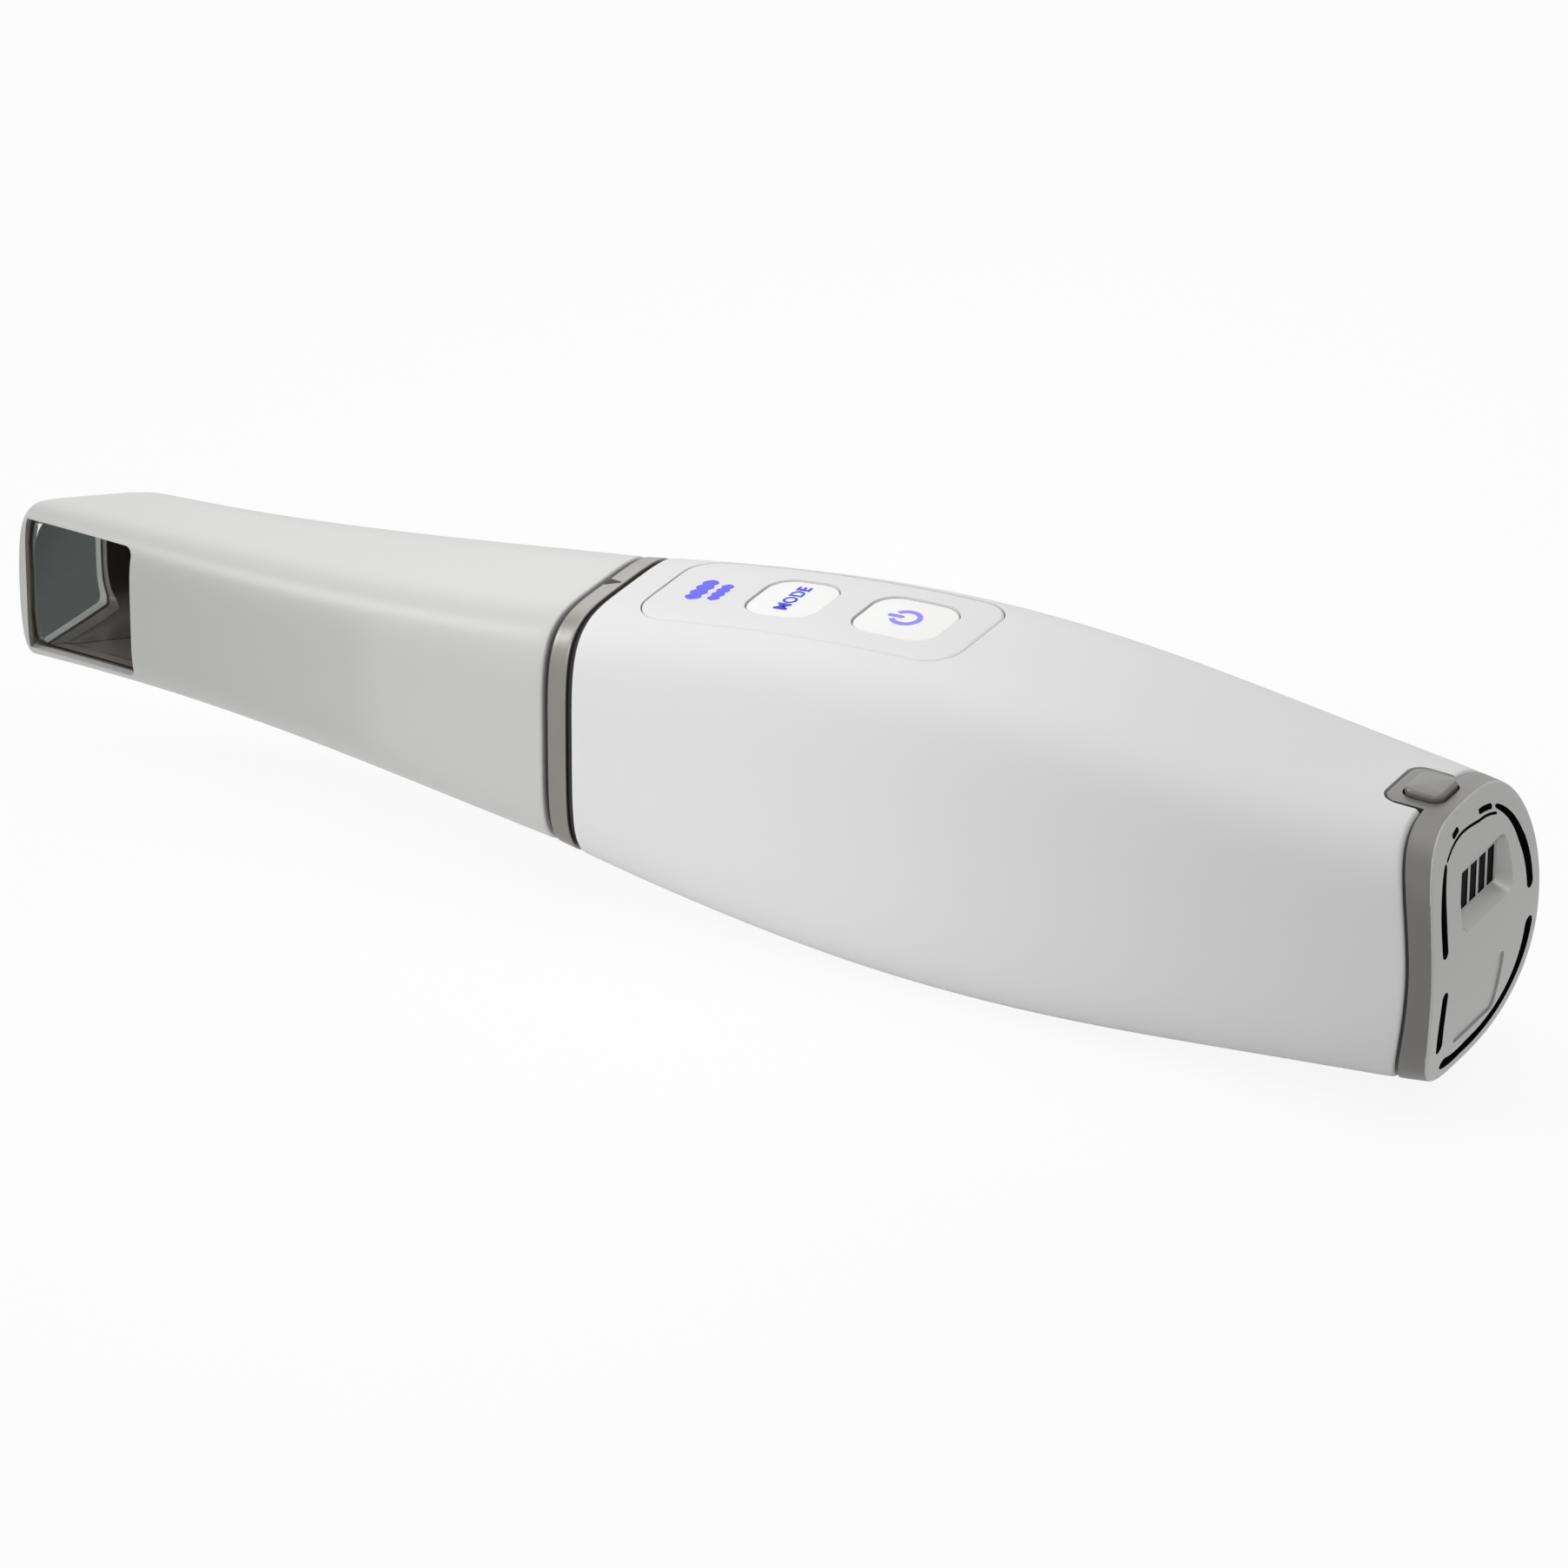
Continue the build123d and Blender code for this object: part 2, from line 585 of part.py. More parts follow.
def make_bay():
    """Guide sleeve for the battery, with its contacts."""
    end_x = BAY_X + BAY_LENGTH
    middle_z = (BATTERY_TOP + BATTERY_BOTTOM) / 2
    tube = battery_prism(BATTERY_CLEARANCE + BAY_WALL, BAY_X, end_x)
    flange = handle_plug(LINING_INSET, end_x - BULKHEAD, end_x)
    bay = tube + handle_plug(LINING_INSET, BAY_X, BAY_X + BULKHEAD) + flange
    bay = bay - battery_prism(BATTERY_CLEARANCE, BAY_X + BULKHEAD, end_x)
    contact_block = block(
        BAY_X + BULKHEAD, CONTACT_X, -CONTACT_BLOCK_WIDTH / 2, CONTACT_BLOCK_WIDTH / 2,
        middle_z - CONTACT_BLOCK_HEIGHT / 2, middle_z + CONTACT_BLOCK_HEIGHT / 2)
    pins = [rod(CONTACT_X, CONTACT_X + PIN_REACH, y, middle_z, PIN_DIAMETER) for y in contact_places()]
    return {"battery_bay": bay, "contact_block": contact_block, "contact_pins": Compound(pins)}


def loop_prism(inset):
    """Column along the scanner inside the tail outline."""
    ring = superellipse(
        PARTING_X, TAIL_HALF_WIDTH - inset, TAIL_RISE - inset, TAIL_DROP - inset, TAIL_SQUARENESS)
    return extrude(Face(ring), 2 * CAP_DEPTH + MARGIN, dir=(1, 0, 0))


def loop_ring(outer, inner):
    """Ring between two columns inside the tail outline."""
    return loop_prism(outer) - loop_prism(inner)


def vent_slots():
    """Broken loop of slots in the end face, joined over the gauge by a thin groove."""
    inner = SLOT_INSET + SLOT_WIDTH
    x_from, x_to = PARTING_X - MARGIN, TAIL_X + 2 * MARGIN
    loop = loop_ring(SLOT_INSET, inner)
    loop = loop - block(x_from, x_to, -REACH, REACH, SIDE_BRIDGE_BOTTOM, SIDE_BRIDGE_TOP)
    loop = loop - block(x_from, x_to, TOP_GAP_FROM, TOP_GAP_TO, 0, REACH)
    low = -TAIL_DROP + 2 * inner
    corner = Pos(TAIL_X, inner - TAIL_HALF_WIDTH + SLOT_WIDTH, low) * Rot(45, 0, 0)
    loop = loop - corner * Box(4 * CAP_DEPTH, CORNER_BRIDGE, 4 * inner)
    groove_from = TOP_GAP_FROM - GROOVE_WIDTH
    groove = loop_ring(inner - GROOVE_WIDTH, inner) & block(x_from, x_to, groove_from, GROOVE_TO, 0, REACH)
    loop = loop + groove
    for y_from, y_to in ((LEFT_SLOT_FROM, LEFT_SLOT_TO), (RIGHT_SLOT_FROM, RIGHT_SLOT_TO)):
        top_slot = loop_ring(SLOT_INSET, SLOT_INSET + TOP_SLOT_WIDTH)
        loop = loop + (top_slot & block(x_from, x_to, y_from, y_to, 0, REACH))
    return loop - arched_block(HANDLE_X, TAIL_X - SLOT_DEPTH, TAIL_RADIUS, TAIL_CROWN_Z)


def gauge_cut():
    """Recess with sloping walls for the charge gauge."""
    width = 2 * GAUGE_HALF_WIDTH
    outline = RectangleRounded(width, GAUGE_TOP - GAUGE_BOTTOM, GAUGE_CORNER_RADIUS)
    place = Plane.YZ * Pos(GAUGE_CENTRE_Y, (GAUGE_TOP + GAUGE_BOTTOM) / 2, TAIL_X)
    return extrude(place * outline, -GAUGE_DEPTH, taper=GAUGE_DRAFT)


def gauge_bars():
    """The four upright windows of the charge gauge."""
    floor_x = TAIL_X - GAUGE_DEPTH
    bars = []
    for step in range(BARS):
        y = BAR_CENTRE_Y + (step - (BARS - 1) / 2) * BAR_PITCH
        half_width = BAR_WIDTH / 2
        half_height = BAR_HEIGHT / 2
        bars.append(block(
            floor_x - BAR_THICKNESS, floor_x, y - half_width, y + half_width,
            BAR_CENTRE_Z - half_height, BAR_CENTRE_Z + half_height))
    return bars


def label_cut():
    """Shallow flat recess below the gauge."""
    height = LABEL_TOP - LABEL_BOTTOM
    outline = RectangleRounded(2 * LABEL_HALF_WIDTH, height, LABEL_CORNER_RADIUS)
    place = Plane.YZ * Pos(0, (LABEL_TOP + LABEL_BOTTOM) / 2, PARTING_X)
    column = extrude(place * outline, 2 * CAP_DEPTH)
    return column - arched_block(HANDLE_X, TAIL_X - LABEL_DEPTH, TAIL_RADIUS, TAIL_CROWN_Z)


def release_prism(grow, z_from, z_to):
    """Column of the release button."""
    length = RELEASE_LENGTH + 2 * grow
    width = RELEASE_WIDTH + 2 * grow
    return upright_prism(RELEASE_X, length, width, RELEASE_CORNER_RADIUS + grow, z_from, z_to)


def release_top():
    """Height of the release button's top."""
    share = (RELEASE_X - HANDLE_X) / (TAIL_X - HANDLE_X)
    rise = WRIST_RISE + (TAIL_RISE - WRIST_RISE) * (share - WRIST_SHARE) / (1 - WRIST_SHARE)
    return rise + RELEASE_PROUD


def make_battery():
    """Battery with the end cap, its seal, gauge and terminals."""
    rear = arched_block(HANDLE_X, TAIL_X, TAIL_RADIUS, TAIL_CROWN_Z)
    ahead = arched_block(HANDLE_X, CAP_FACE_X, PARTING_RADIUS, TAIL_CROWN_Z)
    tail = handle_form() & span(TONGUE_X - MARGIN, TAIL_X + MARGIN / 2) & rear
    disc = tail - ahead
    tongue = (tail & tongue_prism(0) & ahead) - handle_form(TONGUE_THICKNESS)
    cap = disc + tongue
    rim = cap.faces().sort_by(Axis.X)[-1].edges()
    cap = fillet(rim, CAP_EDGE_RADIUS)
    cap = cap - vent_slots() - gauge_cut() - label_cut()
    for bar in gauge_bars():
        cap = cap - bar
    cap = cap - release_prism(RELEASE_GAP, 0, REACH / 2)

    seal_front = arched_block(HANDLE_X, PARTING_X + RUNNING_GAP, PARTING_RADIUS, TAIL_CROWN_Z)
    seal = (handle_plug(SEAL_INSET, TONGUE_X, TAIL_X) & ahead) - seal_front - handle_form(SEAL_DEPTH)
    seal = seal - tongue_prism(TONGUE_GAP)
    case = battery_prism(0, BATTERY_X, TAIL_X) & ahead
    middle_z = (BATTERY_TOP + BATTERY_BOTTOM) / 2
    half = TERMINAL_SIZE / 2
    pads = []
    for y in contact_places():
        pads.append(block(
            BATTERY_X - TERMINAL_THICKNESS, BATTERY_X, y - half, y + half, middle_z - half, middle_z + half))
    return {
        "end_cap": cap,
        "cap_seal": seal,
        "battery_case": case,
        "battery_terminals": Compound(pads),
        "gauge_windows": Compound(gauge_bars()),
    }


def make_release():
    """Release button on the tongue and the leaf spring under it."""
    top = release_top()
    foot = top - RELEASE_PROUD - TONGUE_THICKNESS - RELEASE_FOOT
    button = release_prism(0, foot, top)
    upper = button.faces().sort_by(Axis.Z)[-1].edges()
    button = fillet(upper, RELEASE_EDGE_RADIUS)
    spring_top = foot - RELEASE_TRAVEL - RUNNING_GAP
    half = SPRING_WIDTH / 2
    x_from, x_to = RELEASE_X - RELEASE_LENGTH / 2, RELEASE_X + RELEASE_LENGTH / 2
    thin = SPRING_THICKNESS
    spring = block(x_from, x_to, -half, half, spring_top - thin, spring_top)
    spring = spring + block(x_from, x_from + thin, -half, half, BATTERY_TOP, spring_top)
    spring = spring + block(x_from, x_to, -half, half, BATTERY_TOP, BATTERY_TOP + thin)
    return {"release_button": button, "release_spring": spring}


def main():
    """Build every piece and write one file for each."""
    pieces = {}
    pieces.update(make_tip())
    pieces.update(make_collar())
    pieces.update(make_handle())
    pieces["mode_button"] = make_key(MODE_KEY_X, MODE_KEY_LENGTH)
    pieces["power_button"] = make_key(POWER_KEY_X, POWER_KEY_LENGTH)
    pieces.update(make_keypad())
    pieces.update(make_chassis())
    pieces.update(make_optics())
    pieces.update(make_bay())
    pieces.update(make_battery())
    pieces.update(make_release())
    os.makedirs("parts", exist_ok=True)
    place = Pos(-TAIL_X / 2, 0, -REST_Z)
    for name, piece in pieces.items():
        export_step(place * piece, f"parts/{name}.step")


main()
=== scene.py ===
import math

import bpy
import numpy as np
from mathutils import Matrix, Vector


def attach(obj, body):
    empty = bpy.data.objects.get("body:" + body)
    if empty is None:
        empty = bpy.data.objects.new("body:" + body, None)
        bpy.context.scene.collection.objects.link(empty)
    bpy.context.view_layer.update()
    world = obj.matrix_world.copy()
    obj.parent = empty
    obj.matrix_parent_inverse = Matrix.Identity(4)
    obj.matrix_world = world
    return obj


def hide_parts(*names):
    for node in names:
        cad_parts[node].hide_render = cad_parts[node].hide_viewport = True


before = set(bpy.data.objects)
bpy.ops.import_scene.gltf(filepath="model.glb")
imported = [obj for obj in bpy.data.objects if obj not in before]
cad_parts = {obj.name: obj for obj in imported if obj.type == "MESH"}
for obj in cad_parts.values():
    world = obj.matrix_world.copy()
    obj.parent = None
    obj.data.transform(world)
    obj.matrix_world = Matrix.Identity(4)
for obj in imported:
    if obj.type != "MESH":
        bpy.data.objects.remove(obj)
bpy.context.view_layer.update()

bl_info = {
    "name": "Intraoral scanner dressing",
    "version": (1, 0, 0),
    "blender": (4, 5, 0),
    "location": "View3D > Sidebar > Scanner",
    "description": "Builds the finished housing, keys, cap and stage of a cordless intraoral scanner",
    "category": "Object",
}

# Places are in millimetres: x from the nose of the tip to the tail, z from the axis through the window
HALF_LENGTH = 114.0
REST_HEIGHT = 24.75
MM = 0.001

# Sections of the outer form: station, half width, rise, drop, squareness
TIP_SECTIONS = (
    (-4.0, 8.3, 11.8, 12.4, 6.5),
    (28.52, 10.7, 12.2, 12.6, 4.5),
    (58.88, 13.8, 14.3, 14.3, 4.5),
    (92.0, 16.3, 18.1, 17.9, 4.5),
)
HANDLE_SECTIONS = (
    (92.0, 16.3, 18.1, 17.9, 4.5),
    (118.16, 17.0, 22.2, 22.7, 4.5),
    (146.32, 17.7, 23.9, 25.1, 4.7),
    (174.48, 17.7, 22.3, 24.7, 4.7),
    (201.36, 17.5, 18.63, 22.47, 4.5),
    (232.0, 16.55, 17.7, 22.84, 1.82),
)
COLLAR_X = 92.0
FRONT_SEAL_END = 92.6
REAR_SEAL_START = 95.5
HANDLE_X = 96.4
PARTING_X = 223.85
PARTING_RADIUS = 49.0
PARTING_CROWN_Z = -2.5
TAIL_X = 228.0
TAIL_RADIUS = 55.6
TAIL_CROWN_Z = -3.04

TIP_WALL = 1.3
HANDLE_WALL = 2.4
BORE_INSET = 1.6
SEAL_INSET = 0.5
NOSE_ARCH = 80.0
# Rounding of the nose's rim at the window side, and what it gains above, below and behind
NOSE_RIM, NOSE_RIM_ABOVE, NOSE_RIM_BELOW, NOSE_RIM_BEHIND = 0.3, 0.35, 0.4, 0.7
BACK_START, BACK_ANGLE = 5.0, math.radians(40.0)
NOSE_BLEND = 1.8
BACK_BEND_START, BACK_BEND = 4.0, 0.09
LIP_DEPTH, LIP_STEP, LIP_END_Y = 0.9, 0.3, -5.5
TIP_GAP = 0.35
WINDOW_X, WINDOW_LENGTH, WINDOW_HALF_HEIGHT, WINDOW_CORNER = 10.85, 18.5, 10.1, 1.3
# The window's cutter runs along Y from well outside to just short of the nose's rounded corner
WINDOW_FROM_Y, WINDOW_END_Y = -30.0, -5.0

PANEL_X, PANEL_LENGTH, PANEL_HALF_WIDTH, PANEL_CORNER = 126.8, 49.4, 10.4, 5.2
PANEL_THICKNESS, PANEL_GAP = 1.2, 0.2
KEY_WIDTH, KEY_CORNER, KEY_GAP, KEY_THICKNESS = 12.1, 3.7, 0.2, 2.2
STEM_RADIUS, STEM_END = 2.0, 18.6
# Heights between which an opening is cut through the top
OPENING_FROM_Z, OPENING_TO_Z = 12.0, 30.0
MODE_X, MODE_LENGTH = 122.2, 11.1
POWER_X, POWER_LENGTH = 139.8, 13.1
LIGHT_X, LIGHT_LENGTH, LIGHT_WIDTH, LIGHT_CORNER = 109.0, 5.2, 7.6, 1.0
# Prints on the panel and keys: the two jaws, the word and the power sign
UPPER_JAW_AT, UPPER_JAW_SIZE = (108.3, -0.7), (7.0, 2.7)
LOWER_JAW_AT, LOWER_JAW_SIZE = (111.4, -1.0), (5.7, 2.0)
JAW_TEETH = 4
WORD_LENGTH, WORD_HEIGHT = 7.7, 2.1
POWER_RING_RADIUS, POWER_RING_TURN, POWER_STROKE = 1.95, 296, 0.75
POWER_BAR_AT, POWER_BAR_LENGTH = (POWER_X - 1.5, 0.0), 2.6
PRINT_LIFT, PRINT_THICKNESS = 0.02, 0.06
MARK_X, MARK_LENGTH, MARK_WIDTH, MARK_LIFT, MARK_THICKNESS = 92.85, 2.3, 2.0, 0.01, 0.04
TONGUE_X, TONGUE_HALF_WIDTH, TONGUE_CORNER, TONGUE_GAP, TONGUE_DEPTH = 214.2, 5.4, 2.2, 0.35, 2.2
RELEASE_X, RELEASE_LENGTH, RELEASE_WIDTH, RELEASE_CORNER = 219.0, 5.8, 6.6, 1.6
RELEASE_GAP, RELEASE_PROUD, RELEASE_FOOT, RELEASE_EDGE, RELEASE_DOME = 0.3, 1.2, 2.35, 0.65, 0.15
RELEASE_HOLE_FROM_Z = 5.0

# End face of the cap: the loop of slots, the gauge and the plate under it
CAP_FACE_X, CAP_EDGE = 224.45, 0.3
TAIL_HALF_WIDTH, TAIL_RISE, TAIL_DROP, TAIL_SQUARENESS = 16.8, 17.3, 22.3, 2.56
SLOT_DEPTH, GROOVE_DEPTH = 1.4, 0.6
# Each slot: turn from and to in degrees, insets along it, width, share of the width at its far end, depth
SLOTS = (
    (5, 64, (3.25, 3.45, 2.7), 1.9, 0.35, SLOT_DEPTH),
    (171, 128, (4.0, 2.6), 1.75, 0.4, SLOT_DEPTH),
    (190, 223, (4.4, 2.8), 1.8, 1.0, SLOT_DEPTH),
    (350, 236, (2.95, 3.15, 3.2, 3.1, 2.2), 2.35, 0.75, SLOT_DEPTH),
    (62, 127, (3.6, 3.7, 3.1, 2.7), 0.4, 1.0, GROOVE_DEPTH),
    (67, 82, (2.7,), 0.8, 1.0, SLOT_DEPTH),
    (106, 114, (2.2,), 0.8, 1.0, SLOT_DEPTH),
)
GAUGE_AT, GAUGE_SIZE, GAUGE_CORNER, GAUGE_DEPTH, GAUGE_SLOPE = (0.4, 5.65), (16.4, 9.5), 2.4, 2.4, 0.53
BAR_PLACES, BAR_Z, BAR_WIDTH, BAR_HEIGHT = (-2.65, 0.05, 2.75, 5.45), 5.35, 2.0, 5.5
BAR_CORNER, BAR_SINK, BAR_BELOW = 0.1, 0.8, 0.1
LABEL_AT, LABEL_SIZE, LABEL_CORNER, LABEL_DEPTH = (0.0, -11.7), (12.6, 9.2), 1.0, 0.3

# The camera that the photograph was taken from
CAMERA_AT = (0.546018, -0.972136, 0.574352)
CAMERA_AZIMUTH, CAMERA_ELEVATION, CAMERA_ROLL = 29.009, 26.563, 0.272
CAMERA_LENS, CAMERA_SENSOR = 206.17, 36.0

# The stage, in metres: floor, a dark card seen only in reflections, ambient level and lamps
FLOOR_SIZE, FLOOR_Z = 8.0, -0.0004
REFLECTION_CARD_AT, REFLECTION_CARD_SIZE = (-0.083, -0.02, 0.0198), (0.05, 0.038)
AMBIENT = 0.33
# Each lamp: name, place, target, size, power in watts, spread in degrees
LAMPS = (
    ("top_softbox", (0.1, 0.15, 1.3), (0, 0, 0.02), (1.6, 1.0), 7.0, 180),
    ("left_softbox", (-0.6, -0.25, 0.45), (0, 0, 0.03), (0.5, 0.4), 0.2, 40),
    ("near_pool", (0.1, -0.75, 0.45), (-0.012, -0.017, 0.03), (0.1, 0.1), 0.019, 16),
    ("back_softbox", (-0.62, 1.12, 0.66), (0, 0, 0.02), (1.4, 0.6), 3.2, 180),
)


def linear(code):
    """Linear colour with alpha from an sRGB hex value."""
    parts = [int(code[i:i + 2], 16) / 255 for i in (1, 3, 5)]
    return [p / 12.92 if p <= 0.04045 else ((p + 0.055) / 1.055) ** 2.4 for p in parts] + [1.0]


def length_setting(name, description, millimetres):
    """A length that a user may change."""
    return bpy.props.FloatProperty(
        name=name, description=description, default=millimetres * MM, unit="LENGTH")


def colour_setting(name, description, code):
    """A colour that a user may change, from its sRGB hex value."""
    return bpy.props.FloatVectorProperty(
        name=name, description=description, subtype="COLOR", size=4, default=linear(code), min=0, max=1)


class ScannerSizes(bpy.types.PropertyGroup):
    """Sizes of the finish that a user may change."""

    seam_edge: length_setting("Seam edge", "Rounding of the housing where it meets a seal", 0.4)
    window_edge: length_setting("Window edge", "Rounding of the rim of the tip window", 0.3)
    panel_edge: length_setting("Panel edge", "Rounding of the control panel's rim", 0.4)
    key_edge: length_setting("Key edge", "Rounding of the rim of a key", 0.3)
    key_dome: length_setting("Key dome", "Height of a key's crown over its rim", 0.2)
    ink_height: length_setting("Ink height", "Height of the printed legends over the surface", 0.03)
    cap_edge: length_setting("Cap edge", "Rounding of the edges of the end cap", 0.25)


class ScannerColours(bpy.types.PropertyGroup):
    """Colours of the finishes that a user may change."""

    housing: colour_setting("Housing", "White of the moulded housing", "#ececeb")
    tip: colour_setting("Tip", "Greyer white of the tip's heat-proof plastic", "#cbcbca")
    keys: colour_setting("Keys", "White of the panel and keys", "#ebebea")
    ink: colour_setting("Legends", "Violet of the lit legends", "#3f34dc")
    pale_ink: colour_setting("Power legend", "Paler violet of the power sign", "#7d72ea")
    collar: colour_setting("Collar", "Metal of the front collar", "#8e8c88")
    cap_face: colour_setting("Cap face", "Light grey of the cap's face", "#b4b4b3")
    cap_band: colour_setting("Cap band", "Darker grey of the cap's rim and tongue", "#72716f")
    cap_key: colour_setting("Release button", "Mid grey of the release button", "#767572")


# The form


def fair_curve(rows):
    """Smooth curve through the rows of sizes, one row to a station."""
    table = np.array(rows)
    knots, values = table[:, 0], table[:, 1:]
    last = len(knots) - 1
    gap = np.diff(knots)
    slope = np.diff(values, axis=0) / gap[:, None]
    system = np.zeros((last + 1, last + 1))
    wanted = np.zeros_like(values)
    system[0, :3] = gap[1], -gap[0] - gap[1], gap[0]
    system[last, last - 2:] = gap[-1], -gap[-2] - gap[-1], gap[-2]
    for k in range(1, last):
        system[k, k - 1:k + 2] = gap[k - 1], 2 * (gap[k - 1] + gap[k]), gap[k]
        wanted[k] = 6 * (slope[k] - slope[k - 1])
    bend = np.linalg.solve(system, wanted)

    def at(x):
        k = np.clip(np.searchsorted(knots, x) - 1, 0, last - 1)
        step, past, ahead = gap[k][:, None], (x - knots[k])[:, None], (knots[k + 1] - x)[:, None]
        curved = (bend[k] * ahead ** 3 + bend[k + 1] * past ** 3) / (6 * step)
        first = (values[k] / step - bend[k] * step / 6) * ahead
        return curved + first + (values[k + 1] / step - bend[k + 1] * step / 6) * past

    return at


tip_curve = fair_curve(TIP_SECTIONS)
handle_curve = fair_curve(HANDLE_SECTIONS)


def section(x):
    """Half width, middle, half height and squareness of the form at each station."""
    ahead = (x < COLLAR_X)[:, None]
    half_width, rise, drop, squareness = np.where(ahead, tip_curve(x), handle_curve(x)).T
    return half_width, (rise - drop) / 2, (rise + drop) / 2, squareness


def unit_form(turn, squareness):
    """Directions across and upward at a turn, and the reach that lays them on a rounded square."""
    across, upward = np.cos(turn), np.sin(turn)
    return across, upward, (np.abs(across) ** squareness + np.abs(upward) ** squareness) ** (-1 / squareness)


def around(x, turn, inset):
    """Sideways place and height of the drawn-in form at a turn about the axis."""
    half_width, middle, half_height, squareness = section(x)
    across, upward, reach = unit_form(turn, squareness)
    y = (half_width - inset) * across * reach
    z = middle + (half_height - inset) * upward * reach
    return y, np.maximum(z, inset - REST_HEIGHT)


def top(x, y, depth):
    """Height of the form's upper side, less a depth."""
    half_width, middle, half_height, squareness = section(x)
    share = np.clip(1 - (np.abs(y) / half_width) ** squareness, 0, 1)
    return middle + half_height * share ** (1 / squareness) - depth


def side(x, z, depth):
    """Sideways place of the form's window side, less a depth."""
    half_width, middle, half_height, squareness = section(x)
    share = np.clip(1 - (np.abs(z - middle) / (half_height - depth)) ** squareness, 0, 1)
    return (depth - half_width) * share ** (1 / squareness)


def arch(z, radius, crown_z=0.0):
    """How far an arched end falls back from its crown."""
    return radius - np.sqrt(np.maximum(radius ** 2 - (z - crown_z) ** 2, 0))


# Modelling steps


def deselect():
    """Leave edit mode and select nothing."""
    if bpy.context.object and bpy.context.object.mode != "OBJECT":
        bpy.ops.object.mode_set(mode="OBJECT")
    bpy.ops.object.select_all(action="DESELECT")


def choose(piece):
    """Make one object the selected and active one."""
    deselect()
    piece.select_set(True)
    bpy.context.view_layer.objects.active = piece
    return piece


def close(piece):
    """Merge meeting edges and turn the faces outwards."""
    choose(piece)
    bpy.ops.object.mode_set(mode="EDIT")
    bpy.ops.mesh.select_all(action="SELECT")
    bpy.ops.mesh.remove_doubles(threshold=1e-6)
    bpy.ops.mesh.normals_make_consistent(inside=False)
    bpy.ops.object.mode_set(mode="OBJECT")
    return piece


def outward(piece):
    """Turn a closed skin right side out where its volume counts as negative."""
    mesh = piece.data
    mesh.calc_loop_triangles()
    spots = np.array([vertex.co for vertex in mesh.vertices])
    a, b, c = (spots[[triangle.vertices[k] for triangle in mesh.loop_triangles]] for k in range(3))
    if np.sum(a * np.cross(b, c)) < 0:
        choose(piece)
        bpy.ops.object.mode_set(mode="EDIT")
        bpy.ops.mesh.select_all(action="SELECT")
        bpy.ops.mesh.flip_normals()
        bpy.ops.object.mode_set(mode="OBJECT")
    return piece


def metres(x, y, z):
    """Millimetre places as vertex coordinates in the part's frame."""
    return np.column_stack([x - HALF_LENGTH, y, z + REST_HEIGHT]) * MM


def skin(name, rows, columns, place):
    """A grid whose rows and columns are laid on a surface given by place(row, column)."""
    deselect()
    bpy.ops.mesh.primitive_grid_add(x_subdivisions=rows, y_subdivisions=columns, size=1)
    piece = bpy.context.object
    piece.name = name
    piece.data.name = name
    flat = np.empty(3 * len(piece.data.vertices))
    piece.data.vertices.foreach_get("co", flat)
    flat = flat.reshape(-1, 3)
    row = np.rint((flat[:, 0] + 0.5) * rows).astype(int)
    column = np.rint((flat[:, 1] + 0.5) * columns).astype(int)
    piece.data.vertices.foreach_set("co", metres(*place(row, column)).ravel())
    piece.data.update()
    return close(piece)


def rounded_edge(radius, steps, outwards):
    """Offsets along and inwards over a quarter turn, from the end face to the side or back."""
    turns = [math.pi / 2 * k / steps for k in range(steps + 1)]
    pairs = [(radius * (1 - math.sin(t)), radius * (1 - math.cos(t))) for t in turns]
    return pairs if outwards else pairs[::-1]


def flat_end(x):
    """A sleeve's end at one station."""
    return lambda z: np.full(len(z), x)


def parting_end(x):
    """A sleeve's end along the arched parting line, with its crown at one station."""
    return lambda z: x - arch(z, PARTING_RADIUS, PARTING_CROWN_Z)


def sleeve(name, front, rear, edge, outer_inset, inner_inset, steps, turns=192):
    """A hollow wall round the form with rounded ends; front and rear give its ends at a height."""
    rows = [(0.0, along, outer_inset + inward) for along, inward in rounded_edge(edge, 4, False)]
    for k in range(1, steps):
        share = k / steps
        rows.append((share, edge * (1 - 2 * share), outer_inset))
    rows += [(1.0, -along, outer_inset + inward) for along, inward in rounded_edge(edge, 4, True)]
    back = max(steps // 3, 1)
    rows += [(1 - k / back, 0.0, inner_inset) for k in range(back + 1)]
    rows.append(rows[0])
    table = np.array(rows)

    def place(row, column):
        share, along, inset = table[row].T
        turn = 2 * math.pi * (column % turns) / turns
        z = np.zeros(len(row))
        for _ in range(7):
            x = front(z) + share * (rear(z) - front(z)) + along
            y, z = around(x, turn, inset)
        return x, y, z

    return skin(name, len(rows) - 1, turns, place)


